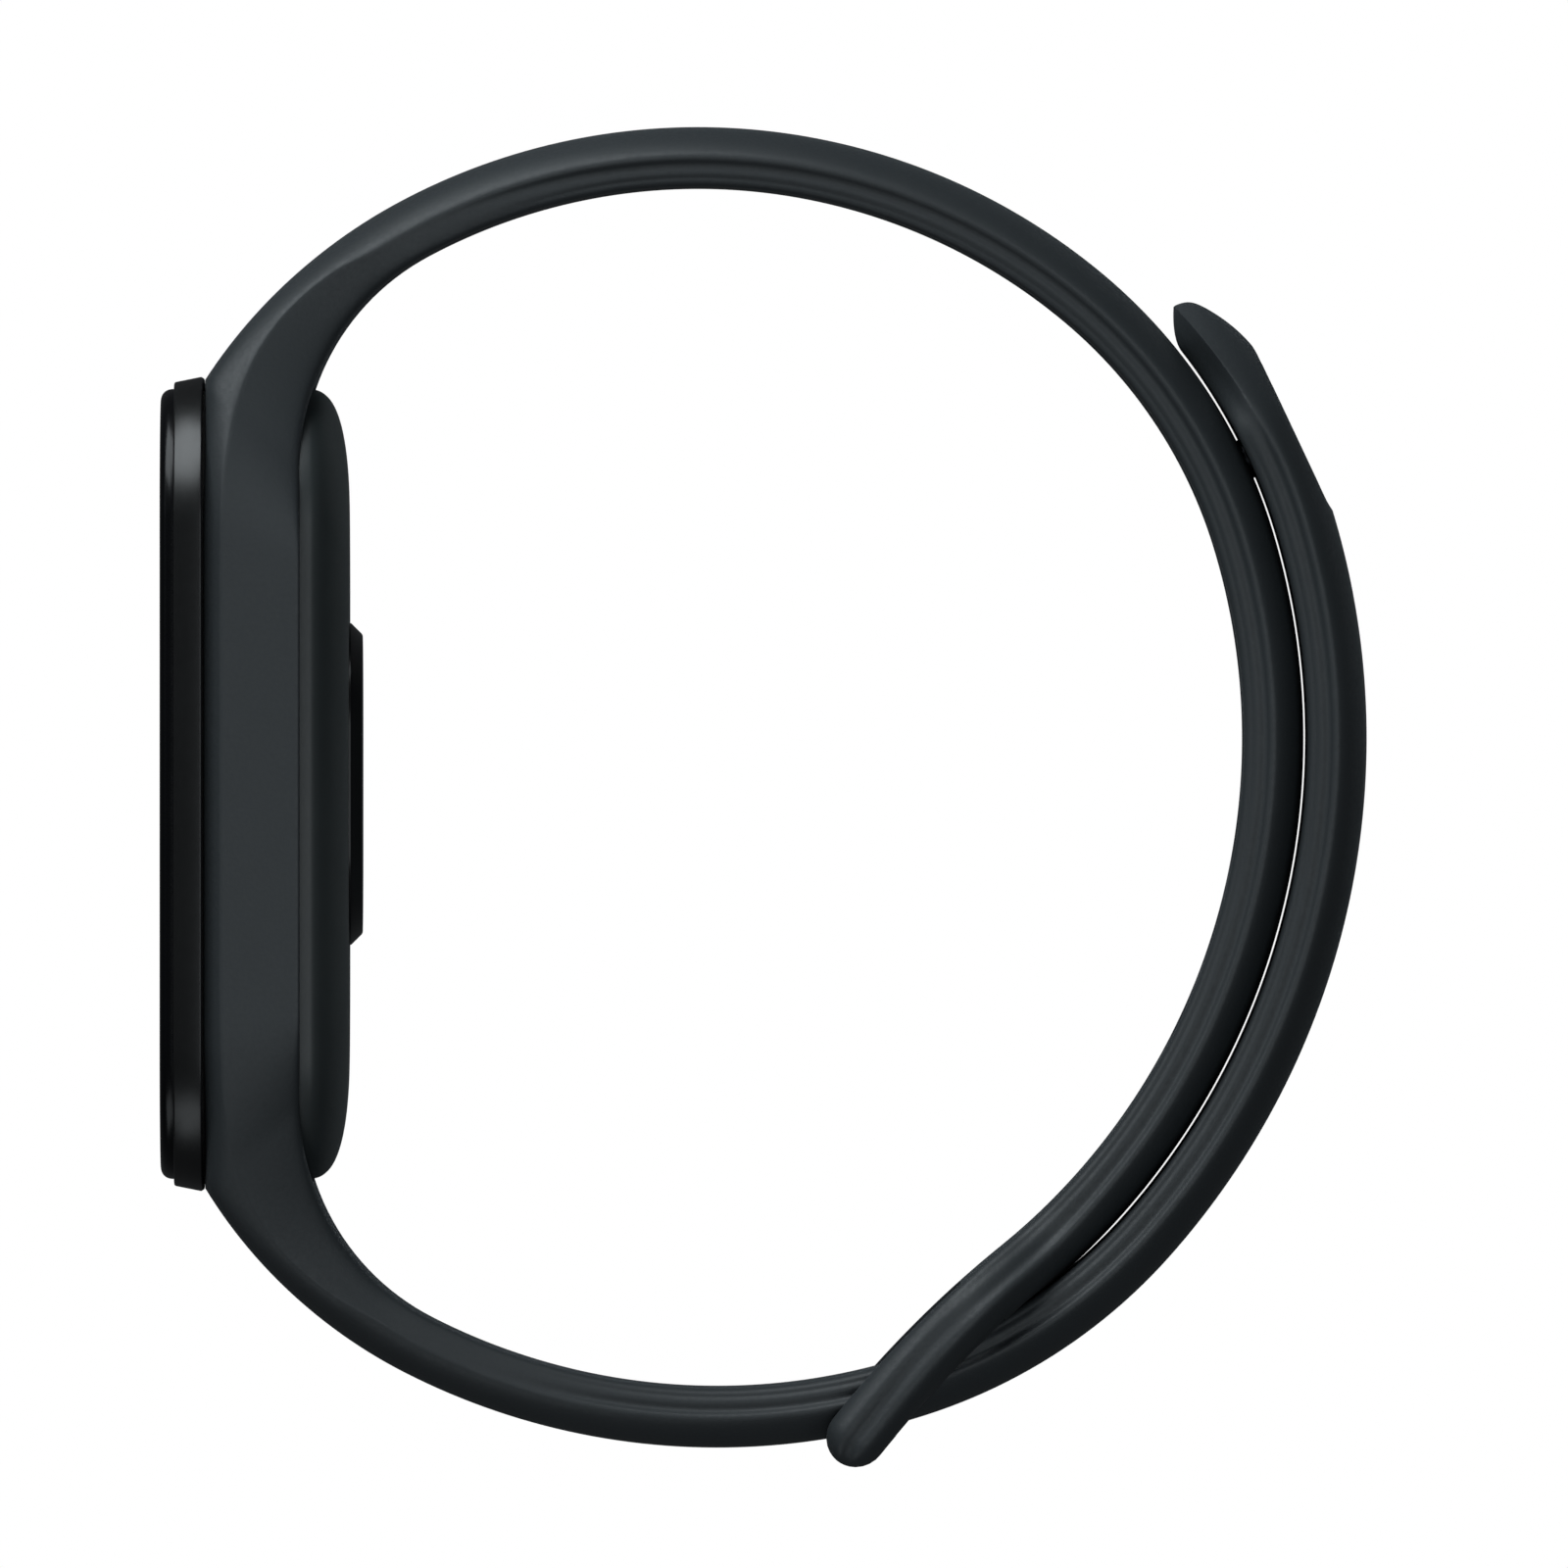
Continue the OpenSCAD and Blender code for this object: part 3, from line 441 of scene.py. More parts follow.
def root_rings(c, r_out, a, root, side):
    """Rings from an arm, where its inner face leaves its arc, to the straight cradle."""
    m, s, a_end = corner_arc(c, r_out, a, (CRADLE_FRONT, side * CRADLE_END))
    rings = []
    share = ROOT_RIDGE
    for i in range(1, ROOT_STEPS + 1):
        t = i / ROOT_STEPS
        outer = polar(m, s, mixed(a, a_end, t))
        inner = polar(root, ROOT_R, mixed(a, side * 180, t))
        share = mixed(ROOT_RIDGE, crest_share(inner, outer, side) or share, eased(t / .35))
        shape = section(shoulder(mixed(inner[1], outer[1], .5)), share,
                        cradle=ROOT_CRADLE * eased((t - .2) / .8), plain=1.0,
                        tip=.09 * eased(t / .3) * (1 - eased((t - .45) / .55)))
        rings.append(ring(inner, outer, shape))
    for i in range(1, SIDE_STEPS + 1):
        t = i / SIDE_STEPS
        zo = mixed(side * CRADLE_END, side * CRADLE_STRAIGHT, t)
        zi = mixed(root[1], side * CRADLE_STRAIGHT, t)
        inner, outer = (CRADLE_BACK, zi), (CRADLE_FRONT, zo)
        share = crest_share(inner, outer, side) or share
        shape = section(shoulder((zo + zi) / 2), share, plain=1.0,
                        cradle=mixed(ROOT_CRADLE, 1, eased(t / .75)))
        rings.append(ring(inner, outer, shape))
    return rings


def loop_half(d):
    """Half the width of the strap at a distance from the end of its loop."""
    return mixed(STRAP_HALF, LOOP_HALF, eased((15.5 - d) / 7.5))


def valley_at(d):
    """Share of the thickness of the shallow valley that winds over the loop's rails."""
    return mixed(.50, .24, eased(d / 11)) + .2 * eased((d - 12) / 9)


def arm_shape(a, from_a, root_a):
    """An arm's section, which turns into the root's from one angle to another."""
    near_root = eased((a - from_a) / (root_a - from_a))
    return section(STRAP_HALF, mixed(ARM_RIDGE, ROOT_RIDGE, near_root), plain=near_root)


def upper_rings():
    """Rings from the loop's round tip over the upper arm and the cradle to the lower arm."""
    rings = []
    for turn in (84, 76, 66, 54, 40, 26, 12):
        share = math.cos(math.radians(turn))
        a = LOOP_A1 + math.degrees(STRAP_T / 2 * math.sin(math.radians(turn)) / LOOP_R)
        mid = LOOP_R + STRAP_T / 2
        inner = polar(LOOP_C, mid + STRAP_T / 2 * share, a)
        outer = polar(LOOP_C, mid - STRAP_T / 2 * share, a)
        half = loop_half(0) - STRAP_T / 2 * (1 - share)
        shape = section(half, LOOP_RIDGE, rail=mixed(1, .8, share),
                        valley=valley_at(0) + .3 * (1 - share))
        rings.append(ring(inner, outer, shape))
    for a in arc_steps(LOOP_A1, LOOP_A0, LOOP_R, 0.5):
        d = math.radians(LOOP_A1 - a) * LOOP_R
        shape = section(loop_half(d), LOOP_RIDGE, rail=mixed(.25, .8, eased(1 - d / 12)),
                        valley=valley_at(d))
        rings.append(ring(polar(LOOP_C, LOOP_R + STRAP_T, a), polar(LOOP_C, LOOP_R, a), shape))
    for a in arc_steps(UPPER_A3, UPPER_A2, UPPER_R3)[1:]:
        d = LOOP_L + math.radians(a - UPPER_A3) * UPPER_R3
        shape = section(loop_half(d), mixed(LOOP_RIDGE, ARM_RIDGE, eased(d / 25 - .4)),
                        rail=mixed(.25, 0, eased(d / 8 - 1.4)), valley=valley_at(d))
        rings.append(ring(polar(UPPER_C3, UPPER_R3 - STRAP_T, a),
                          polar(UPPER_C3, UPPER_R3, a), shape))
    for c, r, a0, a1 in ((UPPER_C2, UPPER_R2, UPPER_A2, UPPER_A1),
                         (UPPER_C1, UPPER_R1, UPPER_A1, UPPER_A0)):
        for a in arc_steps(a0, a1, r)[1:]:
            rings.append(ring(polar(c, r - STRAP_T, a), polar(c, r, a),
                              arm_shape(a, ROOT_STARTS, UPPER_A0)))
    rings += root_rings(UPPER_C1, UPPER_R1, UPPER_A0, UPPER_ROOT, 1)
    for i in range(1, MIDDLE_STEPS):
        z = mixed(CRADLE_STRAIGHT, -CRADLE_STRAIGHT, i / MIDDLE_STEPS)
        rings.append(ring((CRADLE_BACK, z), (CRADLE_FRONT, z),
                          section(SHOULDER_HALF, .83, cradle=1)))
    rings += root_rings(LOWER_C1, LOWER_R1 + STRAP_T, LOWER_A0, LOWER_ROOT, -1)[::-1]
    for a in arc_steps(LOWER_A0, ARM_STOP, LOWER_R1):
        rings.append(ring(polar(LOWER_C1, LOWER_R1, a), polar(LOWER_C1, LOWER_R1 + STRAP_T, a),
                          arm_shape(a, -ROOT_STARTS, LOWER_A0)))
    return rings


# An arm begins to turn into its root at the angle +-ROOT_STARTS. The lower arm is drawn to
# ARM_STOP, then on to ARM_END once the loop has its opening.
ROOT_STARTS = 95
ARM_STOP, ARM_END = -90.0, -75.5
ARM_END_STEPS = 18

# The tail: the middle of its flat over the peg, how far the flat stands out and half its
# length, the angles where the tip's faces leave their arcs, and the ridge's radius there
FLAT_A, FLAT_R, FLAT_HALF = 25.2, 30.87, 5.2
TIP_INNER_A, TIP_OUTER_A = 38.4, 33.5
TAIL_RIDGE, TIP_RIDGE_R = 1.34, 29.34


def tail_radii(a):
    """Inner and outer radius of the tail about the lap's second centre, and its ridge."""
    inner, outer, ridge = LAP_R2, LAP_R2 + STRAP_T, LAP_R2 + TAIL_RIDGE
    if a > TIP_INNER_A:
        inner += 1.19 * ((a - TIP_INNER_A) / (TAIL_TIP_A - TIP_INNER_A)) ** 1.75
    if a > TIP_OUTER_A:
        t = (a - TIP_OUTER_A) / (TAIL_TIP_A - TIP_OUTER_A)
        outer -= 1.96 * (.65 * t ** 1.8 + .35 * t ** 20)
    return inner, outer, mixed(ridge, TIP_RIDGE_R, eased((a - 20) / (TAIL_TIP_A - 20)))


def flattened(v):
    """Presses a point of the tail down to the flat over the peg."""
    x, z = v.x / MM - UPPER_C2[0], v.z / MM - UPPER_C2[1]
    up = polar((0, 0), 1, FLAT_A)
    height, along = x * up[0] + z * up[1], z * up[0] - x * up[1]
    extra = height - FLAT_R
    if extra > 0 and -FLAT_HALF < along < FLAT_HALF:
        v = v - Vector((up[0], 0, up[1])) * extra * MM
    return v


def lower_rings(gap=0.0, first=None, last=None):
    """Rings of the lower strap from its crossing to its tip; gap makes it that much bigger."""
    def one(c, r, a):
        return ring(polar(c, r - gap, a), polar(c, r + STRAP_T + gap, a),
                    section(STRAP_HALF + gap))
    rings = [one(LOWER_C1, LOWER_R1, a) for a in arc_steps(first or ARM_END, LOWER_A1, LOWER_R1)]
    rings += [one(LOWER_C2, LOWER_R2, a) for a in arc_steps(LOWER_A1, LOWER_A2, LOWER_R2)[1:]]
    if last is not None:
        return rings + [one(UPPER_C3, LAP_R3, a) for a in arc_steps(LOWER_A2, last, LAP_R3)[1:]]
    rings += [one(UPPER_C3, LAP_R3, a) for a in arc_steps(LOWER_A2, UPPER_A2, LAP_R3)[1:]]
    angles = arc_steps(UPPER_A2, PEG_A, LAP_R2)[1:] + [
        PEG_A + (TAIL_TIP_A - .05 - PEG_A) * math.sin(math.radians(90 * i / 46))
        for i in range(1, 47)]
    for a in angles:
        inner, outer, ridge = tail_radii(a)
        over = max(0.0, a - FLAT_A) / (TAIL_TIP_A - FLAT_A)
        half = STRAP_HALF * math.sqrt(max(0.0, 1 - over ** 2))
        shape = section(half, (ridge - inner) / (outer - inner), plain=eased((a - 22) / 8),
                        tip=eased((a - 27) / 11))
        rings.append([flattened(v) for v in ring(polar(UPPER_C2, inner, a),
                                                 polar(UPPER_C2, outer, a), shape)])
    return rings


def place_of_hole(s):
    """Centre, radius and angle of a hole at an arc length below the peg's hole."""
    above = math.radians(UPPER_A1 - PEG_A) * UPPER_R2
    below = math.radians(PEG_A - UPPER_A2) * UPPER_R2
    if s < -above:
        return UPPER_C1, UPPER_R1, UPPER_A1 + math.degrees((-s - above) / UPPER_R1)
    if s <= below:
        return UPPER_C2, UPPER_R2, PEG_A - math.degrees(s / UPPER_R2)
    return UPPER_C3, UPPER_R3, UPPER_A2 - math.degrees((s - below) / UPPER_R3)


def stood_on(obj, c, r, a):
    """Turns a tool made along X about the origin and stands it on a strap face."""
    obj.rotation_euler = (0, -math.radians(a), 0)
    x, z = polar(c, r, a)
    obj.location = (x * MM, 0, z * MM)
    return settle(obj, obj.name)


def hole_tools():
    """One tool for each peg hole: a slot with round ends, a flared lip and an inner recess."""
    tools = []
    deep = -STRAP_T + .7
    slot = (HOLE_WIDE, HOLE_LONG, HOLE_WIDE / 2 - .01)
    for i in range(PEG_HOLES):
        rings = [outline(*inset(slot, -g), x, 8) for x, g in (
            (.6, .76), (0, .16), (-.07, .08), (-.18, .02), (-.4, 0), (deep, 0))]
        rings += [outline(w, w, w / 2 - .01, x, 8) for x, w in (
            (deep - .01, RECESS_W), (-STRAP_T + .1, RECESS_W), (-STRAP_T, 5.2),
            (-STRAP_T - .9, 6.2))]
        place = place_of_hole((i - HOLES_ABOVE_PEG) * HOLE_PITCH)
        tools.append(stood_on(drawn_out("hole_tool", rings), *place))
    return tools


def make_band():
    """Cradle, upper arm with its loop, and the lower arm up to its crossing."""
    band = drawn_out("band_and_cradle", upper_rings())
    cut(band, slab("capsule_tool", TOOL_FRONT, -20, *CRADLE_ROOM, segments=18))
    room = drawn_out("crossing_tool", lower_rings(gap=.1, first=-84.0, last=-30.0))
    cut(band, room)
    tip = polar(LOOP_C, LOOP_R + STRAP_T / 2, LOOP_A1)
    opening = slab("opening_tool", 1.3, 9.6, 17.6, 3.3 * STRAP_T, .9, segments=8)
    opening.rotation_euler = (0, math.radians(90 - LOOP_A1), 0)
    opening.location = (tip[0] * MM, 0, tip[1] * MM)
    cut(band, settle(opening, "opening_tool"))
    for tool in hole_tools():
        cut(band, tool)
    # the lower arm is drawn on, through the loop's opening
    edit(band)
    end_n = Vector((-math.sin(math.radians(ARM_STOP)), 0, math.cos(math.radians(ARM_STOP))))
    end_x, end_z = polar(LOWER_C1, LOWER_R1, ARM_STOP)
    end_p = Vector((end_x * MM, 0, end_z * MM))
    pick("FACE", lambda f: abs(f.normal.dot(end_n)) > .999
         and abs((f.calc_center_median() - end_p).dot(end_n)) < 2e-5
         and (f.calc_center_median() - end_p).length < .006)
    turn = (ARM_END - ARM_STOP) / ARM_END_STEPS
    for _ in range(ARM_END_STEPS):
        bpy.ops.mesh.extrude_region_move()
        bpy.ops.transform.rotate(value=math.radians(turn), orient_axis="Y",
                                 center_override=(LOWER_C1[0] * MM, 0, LOWER_C1[1] * MM))
    leave_edit()
    return soften(band, 40)


def make_tail():
    """The lower strap from its crossing to its tip, with the pocket for the peg's cap."""
    tail = drawn_out("lower_strap_and_tail", lower_rings())
    deep = 2
    cap_room = rod("cap_tool", PEG_CAP_R + .06, deep,
                   STRAP_T - PEG_CAP_SUNK - PEG_CAP_T + deep / 2, vertices=48)
    cut(tail, stood_on(cap_room, UPPER_C2, LAP_R2, PEG_A))
    stem_room = rod("stem_tool", PEG_NECK_R + .05, 8, 0, vertices=32)
    cut(tail, stood_on(stem_room, UPPER_C2, LAP_R2, PEG_A))
    return soften(tail, 40)


def turned(name, profile, segments=48):
    """A round piece about X: a filled circle drawn out through (place along X, radius)."""
    rings = [[Vector((x, r * math.cos(2 * math.pi * i / segments),
                      r * math.sin(2 * math.pi * i / segments))) * MM
              for i in range(segments)] for x, r in profile]
    return drawn_out(name, rings)


def make_peg():
    """Cap with a shallow dish, neck and mushroom head, standing in the tail."""
    top = STRAP_T - PEG_CAP_SUNK
    under = top - PEG_CAP_T
    low = -STRAP_T - LAP_GAP + .1
    head = [(low, .9), (low + .04, 1.08), (low + .16, 1.24), (low + .32, 1.3), (low + .5, 1.26),
            (low + .6, 1.12)]
    neck = [(low + .62, PEG_NECK_R), (under - .06, PEG_NECK_R)]
    cap = [(under, 1.2), (under, 2.5), (under + .06, 2.57), (under + .14, PEG_CAP_R),
           (top - .1, PEG_CAP_R), (top - .03, 2.56), (top, 2.48)]
    dish = [(top, 2.2), (top - .03, 2.12), (top - .06, 1.9), (top - .07, .6), (top - .07, .2)]
    peg = turned("snap_peg_metal", head + neck + cap + dish)
    peg = stood_on(peg, UPPER_C2, LAP_R2, PEG_A)
    return soften(peg, 30)


# ---------------------------------------------------------------- the capsule

def make_glass():
    """Cover glass with a rounded front edge."""
    glass = slab("display_glass", GLASS_FRONT, GLASS_BACK, *GLASS, segments=20)
    round_rim(glass, GLASS_FRONT, .7, segments=10, profile=.56)
    return soften(glass, 40)


def make_bezel():
    """Frame that leans in towards the front, with a seat for the glass and a window in it."""
    bezel = slab("bezel_ring", BEZEL_FRONT, BEZEL_BACK, *BEZEL, segments=22)
    shrink_rim(bezel, BEZEL_FRONT, .3, .3)
    round_rim(bezel, BEZEL_FRONT, .1, segments=3)
    round_rim(bezel, BEZEL_BACK, .12, segments=3)
    cut(bezel, slab("seat_tool", TOOL_FRONT, -31.35, *inset(GLASS, -.08), segments=20))
    cut(bezel, slab("window_tool", TOOL_FRONT, -29, 20, 37, 5, segments=12))
    return soften(bezel, 25)


def make_shell():
    """Back shell: straight sides that roll over into a pillowed back."""
    wide, long, corner = SHELL
    rings = [outline(*inset(SHELL, .1), -30.15)] + [
        outline(*SHELL, x) for x in (-30.05, -27.5, -25.3)]
    steps = 24
    for i in range(1, steps + 1):
        a = math.radians(90 * i / steps)
        in_long = 6.3 * (1 - math.cos(a)) ** 1.25
        in_wide = 4.6 * (1 - math.cos(a)) ** .85
        rings.append(outline(wide - 2 * in_wide, long - 2 * in_long, corner - .30 * in_long,
                             mixed(-24.9, SHELL_BACK, math.sin(a) ** .9)))
    shell = drawn_out("back_shell_pillow", rings)
    cut(shell, slab("cavity_tool", -33, -25.0, *inset(SHELL, 1.0)))
    cut(shell, slab("cavity_floor_tool", -33, -23.7, *inset(SHELL, 2.3)))
    cut(shell, slab("window_hole_tool", -26, -20, *WINDOW_HOLE))
    for side in (-1, 1):
        cut(shell, rod("contact_tool", PAD_R + .04, 3, -23, side * CONTACT_Y, CONTACT_Z))
    return soften(shell, 30)


def make_window():
    """Raised sensor window with a wide chamfer, and the plug that holds it in the shell."""
    window = slab("sensor_window_glass", SHELL_BACK - .05, WINDOW_BACK, *WINDOW, segments=20)
    round_rim(window, WINDOW_BACK, .60, segments=1)
    round_rim(window, WINDOW_BACK, .08, segments=4)
    plug = slab("window_plug", -23.2, SHELL_BACK, *inset(WINDOW_HOLE, .05), segments=16)
    return soften(joined([window, plug]), 25)


def make_contacts():
    """Two dished charging pads, each with a flange inside the shell."""
    pads = []
    for side in (-1, 1):
        pad = turned("charge_pad", [
            (-24.0, 1.55), (-23.72, 1.55), (-23.7, PAD_R), (-22.85, PAD_R), (-22.78, 1.14),
            (-22.74, 1.0), (-22.76, .7), (-22.79, .3)])
        pad.location = (0, side * CONTACT_Y * MM, CONTACT_Z * MM)
        pads.append(settle(pad, "charge_pad"))
    return soften(settle(joined(pads), "charge_pads"), 30)


# ---------------------------------------------------------------- finishes

def ramp(nodes, first, last):
    """A colour ramp between two stops, each (place, colour)."""
    node = nodes.new("ShaderNodeValToRGB")
    node.color_ramp.elements[0].position, node.color_ramp.elements[0].color = first
    node.color_ramp.elements[1].position, node.color_ramp.elements[1].color = last
    return node


def finish_of(name, dark, light, rough, patch=140.0, grain=9000.0, depth=.00001,
              strength=.2, wear=0.0, **sockets):
    """A finish with cloudy colour, uneven gloss, a fine grain and, where worn, paler edges."""
    mat = bpy.data.materials.new(name)
    mat.use_nodes = True
    nodes, links = mat.node_tree.nodes, mat.node_tree.links
    shader = nodes["Principled BSDF"]
    for socket, value in sockets.items():
        shader.inputs[socket.replace("_", " ")].default_value = value
    where = nodes.new("ShaderNodeTexCoord")
    cloud = nodes.new("ShaderNodeTexNoise")
    cloud.inputs["Scale"].default_value = patch
    cloud.inputs["Detail"].default_value = 4
    links.new(where.outputs["Object"], cloud.inputs["Vector"])
    shade = ramp(nodes, (.3, (*dark, 1)), (.7, (*light, 1)))
    links.new(cloud.outputs["Fac"], shade.inputs["Fac"])
    speck = nodes.new("ShaderNodeTexNoise")
    speck.inputs["Scale"].default_value = grain
    speck.inputs["Detail"].default_value = 2
    links.new(where.outputs["Object"], speck.inputs["Vector"])
    gloss = nodes.new("ShaderNodeMapRange")
    gloss.inputs["To Min"].default_value, gloss.inputs["To Max"].default_value = rough
    links.new(speck.outputs["Fac"], gloss.inputs["Value"])
    links.new(gloss.outputs["Result"], shader.inputs["Roughness"])
    relief = nodes.new("ShaderNodeBump")
    relief.inputs["Strength"].default_value = strength
    relief.inputs["Distance"].default_value = depth
    links.new(speck.outputs["Fac"], relief.inputs["Height"])
    links.new(relief.outputs["Normal"], shader.inputs["Normal"])
    colour = shade.outputs["Color"]
    if wear:
        edge = nodes.new("ShaderNodeNewGeometry")
        rub = nodes.new("ShaderNodeMapRange")
        rub.inputs["From Min"].default_value, rub.inputs["From Max"].default_value = .52, .62
        rub.inputs["To Max"].default_value = wear
        links.new(edge.outputs["Pointiness"], rub.inputs["Value"])
        worn = nodes.new("ShaderNodeMix")
        worn.data_type = "RGBA"
        worn.inputs["B"].default_value = (*[min(1, 2.2 * c) for c in light], 1)
        links.new(rub.outputs["Result"], worn.inputs["Factor"])
        links.new(colour, worn.inputs["A"])
        colour = worn.outputs["Result"]
    links.new(colour, shader.inputs["Base Color"])
    return mat


STRAP_RUBBER = finish_of("moulded_strap_rubber", (.0185, .0225, .0250), (.0225, .0270, .0300),
                         (.46, .66), patch=60, grain=4200, depth=.000018, strength=.6,
                         wear=.06, Specular_IOR_Level=.5)
GLOSS_BLACK = finish_of("gloss_black_bezel", (.0035, .0036, .0038), (.005, .0052, .0054),
                        (.30, .36), grain=2500, depth=.000002, strength=.1)
GLASS_BLACK = finish_of("tinted_cover_glass", (.0015, .0016, .002), (.0022, .0024, .003),
                        (.22, .30), grain=600, depth=.000001, strength=.05,
                        Specular_IOR_Level=.25)
SHELL_SATIN = finish_of("satin_shell_plastic", (.0190, .0235, .0245), (.0235, .0285, .0295),
                        (.40, .50), grain=8000, depth=.000008, strength=.25, wear=.15)
WINDOW_DARK = finish_of("sensor_window_tint", (.004, .004, .0045), (.006, .006, .0065),
                        (.26, .32), grain=900, depth=.000001, strength=.05)
PEG_STEEL = finish_of("blackened_peg", (.03, .032, .035), (.045, .048, .052), (.28, .40),
                      grain=5000, depth=.000004, Metallic=.9, wear=.4)
PAD_GOLD = finish_of("gold_plated_pad", (.55, .38, .16), (.72, .52, .24), (.22, .36),
                     grain=4000, depth=.000003, Metallic=1.0)
ADHESIVE = finish_of("black_gasket_foam", (.012, .012, .012), (.02, .02, .02), (.8, .95),
                     grain=5000, depth=.00003, strength=.6)
PANEL = finish_of("dark_display_glass", (.004, .006, .010), (.008, .011, .018), (.12, .2),
                  patch=400, grain=2000, depth=.000001)
DIFFUSER = finish_of("backlight_diffuser", (.55, .57, .58), (.72, .74, .75), (.45, .6),
                     grain=3000, depth=.000004)
FLEX_FILM = finish_of("amber_flex_film", (.30, .12, .03), (.45, .20, .06), (.3, .45),
                      patch=900, grain=3500, depth=.000004)
FOIL = finish_of("battery_foil", (.42, .43, .45), (.60, .61, .63), (.25, .45), patch=500,
                 grain=1800, depth=.00004, strength=.5, Metallic=.9)
BOARD_GREEN = finish_of("solder_mask", (.008, .045, .022), (.016, .075, .035), (.3, .45),
                        patch=900, grain=3000, depth=.00001)
CHIP_BLACK = finish_of("chip_epoxy", (.010, .010, .011), (.018, .018, .02), (.55, .7),
                       patch=1500, grain=7000, depth=.00001)
TIN_STEEL = finish_of("tinned_steel", (.42, .43, .44), (.60, .61, .62), (.25, .42),
                      patch=700, grain=4000, depth=.000006, Metallic=1.0)
LEAD_RED = finish_of("red_lead_sleeve", (.32, .02, .015), (.45, .04, .03), (.4, .55),
                     grain=6000, depth=.000006)
HEAVY_METAL = finish_of("sintered_tungsten", (.16, .15, .13), (.26, .24, .21), (.4, .6),
                        patch=1500, grain=6000, depth=.00002, Metallic=1.0)
LED_CHIP = finish_of("led_phosphor", (.10, .36, .16), (.2, .55, .28), (.3, .5), patch=1800,
                     grain=6000, depth=.00001)
FRAME_PLASTIC = finish_of("inner_frame_plastic", (.020, .022, .024), (.032, .035, .038),
                          (.5, .65), grain=6000, depth=.00001)

NODE_FINISH = {
    "glass_adhesive": ADHESIVE, "display_panel": PANEL, "display_backlight": DIFFUSER,
    "display_flex": FLEX_FILM, "inner_frame": FRAME_PLASTIC, "battery_tape": DIFFUSER,
    "battery_cell": FOIL, "battery_board": BOARD_GREEN, "battery_leads": LEAD_RED,
    "motor_case": TIN_STEEL, "motor_cap": TIN_STEEL, "motor_magnet": HEAVY_METAL,
    "motor_shaft": TIN_STEEL, "motor_rotor": HEAVY_METAL, "motor_leads": LEAD_RED,
    "main_board": BOARD_GREEN, "processor_chip": CHIP_BLACK, "flash_chip": CHIP_BLACK,
    "power_chip": CHIP_BLACK, "motion_sensor": CHIP_BLACK, "crystals": TIN_STEEL,
    "shield_can": TIN_STEEL, "antenna": PAD_GOLD, "sensor_board": BOARD_GREEN,
    "sensor_flex": FLEX_FILM, "green_leds": LED_CHIP, "photodiodes": PANEL,
    "light_barrier": CHIP_BLACK, "shell_seal": ADHESIVE, "contact_springs": PAD_GOLD,
}


def coat(obj, mat):
    """Gives a piece one material in place of any it has."""
    obj.data.materials.clear()
    obj.data.materials.append(mat)


for node_name, mat in NODE_FINISH.items():
    coat(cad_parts[node_name], mat)


def fit_piece(obj, body, mat, slot_name, *stands_for):
    """Coats a piece, puts it on its body and hides the nodes it stands for."""
    coat(obj, mat)
    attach(obj, body)
    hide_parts(*stands_for)


fit_piece(make_band(), "band", STRAP_RUBBER, "strap_rubber", "cradle", "upper_strap")

tail = make_tail()
coat(tail, STRAP_RUBBER)
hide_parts("lower_strap", "strap_tail")
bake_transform(tail)

fit_piece(make_peg(), "tail", PEG_STEEL, "tinned_steel", "snap_peg")
fit_piece(make_glass(), "tracker", GLASS_BLACK, "cover_glass", "cover_glass")
fit_piece(make_bezel(), "tracker", GLOSS_BLACK, "black_plastic", "bezel_frame")
fit_piece(make_shell(), "tracker", SHELL_SATIN, "satin_plastic", "back_shell")
fit_piece(make_window(), "tracker", WINDOW_DARK, "cover_glass", "sensor_window")
fit_piece(make_contacts(), "tracker", PAD_GOLD, "gold", "charge_contacts")


# ---------------------------------------------------------------- stage, light and camera

def stage_floor():
    """A plain white floor that shows only to the camera and throws nothing on the object."""
    lo, _ = CAD_BOX
    start_fresh()
    bpy.ops.mesh.primitive_plane_add(size=14, location=(0, 0, lo.z - .0006))
    floor = settle(bpy.context.object, "pale_floor")
    mat = bpy.data.materials.new("plain_white_floor")
    mat.use_nodes = True
    nodes, links = mat.node_tree.nodes, mat.node_tree.links
    nodes.clear()
    glow = nodes.new("ShaderNodeEmission")
    glow.inputs["Color"].default_value = (1, 1, 1, 1)
    out = nodes.new("ShaderNodeOutputMaterial")
    links.new(glow.outputs["Emission"], out.inputs["Surface"])
    floor.data.materials.append(mat)
    floor.visible_diffuse = floor.visible_glossy = False
    floor.visible_shadow = floor.visible_transmission = False


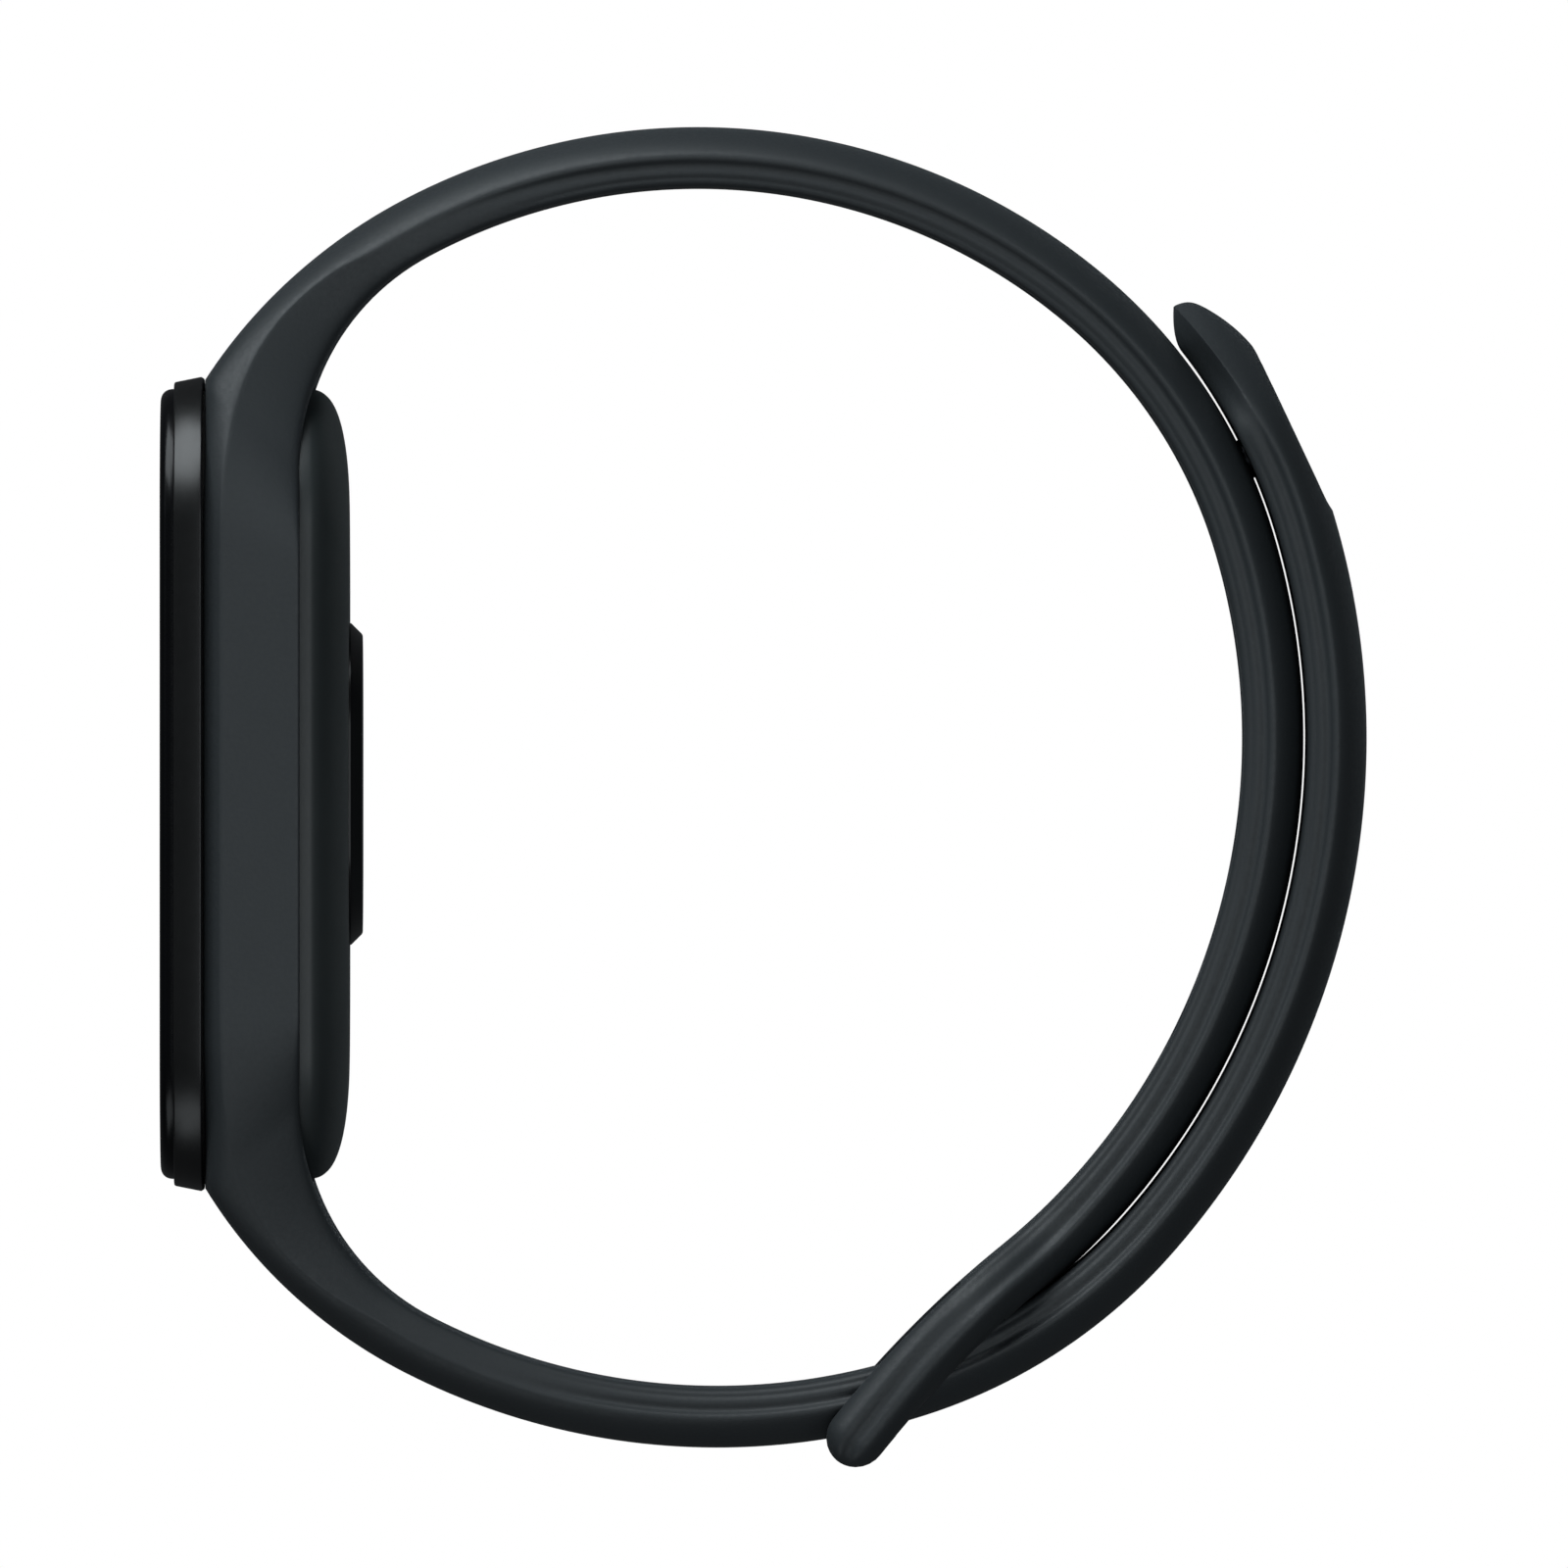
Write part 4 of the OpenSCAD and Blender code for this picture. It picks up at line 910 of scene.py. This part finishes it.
def studio_world():
    """White where the camera sees it, and a dim cool light for everything else."""
    world = bpy.data.worlds.new("studio")
    bpy.context.scene.world = world
    world.use_nodes = True
    nodes, links = world.node_tree.nodes, world.node_tree.links
    nodes.clear()
    seen, dim = nodes.new("ShaderNodeBackground"), nodes.new("ShaderNodeBackground")
    seen.inputs["Color"].default_value = (1, 1, 1, 1)
    dim.inputs["Color"].default_value = (.9, .95, 1, 1)
    dim.inputs["Strength"].default_value = .05
    path, mix = nodes.new("ShaderNodeLightPath"), nodes.new("ShaderNodeMixShader")
    out = nodes.new("ShaderNodeOutputWorld")
    links.new(path.outputs["Is Camera Ray"], mix.inputs["Fac"])
    links.new(dim.outputs["Background"], mix.inputs[1])
    links.new(seen.outputs["Background"], mix.inputs[2])
    links.new(mix.outputs["Shader"], out.inputs["Surface"])


# Name, direction from the object, distance, width and height in metres, watts, and whether
# it shows in reflections. The ones behind light the back without bright rims on the sides.
SOFT_LIGHTS = [
    ("key_softbox", (-.48, -.50, .96), .45, .36, .36, 2.0, True),
    ("front_fill", (.30, -1, -.10), .6, .4, .4, .88, True),
    ("low_softbox", (-.45, -.55, -.95), .5, .30, .24, .30, True),
    ("left_strip", (-1, -.5, .3), .5, .10, .20, .03, True),
    ("wrist_side_softbox", (.62, .95, .35), .5, .35, .35, 2.3, False),
    ("back_softbox", (-.15, 1, .5), .45, .35, .35, 1.9, False),
    ("back_fill", (-.8, 1, .1), .5, .35, .35, .8, False),
]
LIGHT_TINT = (.90, .965, 1)


def soft_light(name, towards, away, wide, tall, watts, in_gloss):
    """An area light that stands in a direction from the object and looks at it."""
    way = Vector(towards).normalized()
    start_fresh()
    bpy.ops.object.light_add(type="AREA", location=way * away,
                             rotation=(-way).to_track_quat("-Z", "Y").to_euler())
    lamp = bpy.context.object
    lamp.name = name
    lamp.data.shape = "RECTANGLE"
    lamp.data.size, lamp.data.size_y = wide, tall
    lamp.data.energy = watts
    lamp.data.color = LIGHT_TINT
    lamp.visible_camera = False
    lamp.visible_glossy = in_gloss


def set_camera():
    """A very long lens square to the side; width is what it sees at the object, in metres."""
    start_fresh()
    lens, sensor, width = 1400.0, 36, .0819
    bpy.ops.object.camera_add(location=(0, -width * lens / sensor, 0),
                              rotation=(math.pi / 2, 0, 0))
    camera = bpy.context.object
    camera.data.lens, camera.data.sensor_width = lens, sensor
    camera.data.clip_start, camera.data.clip_end = .1, 20
    bpy.context.scene.camera = camera


stage_floor()
studio_world()
for light in SOFT_LIGHTS:
    soft_light(*light)
set_camera()
bpy.context.scene.view_settings.view_transform = "Standard"
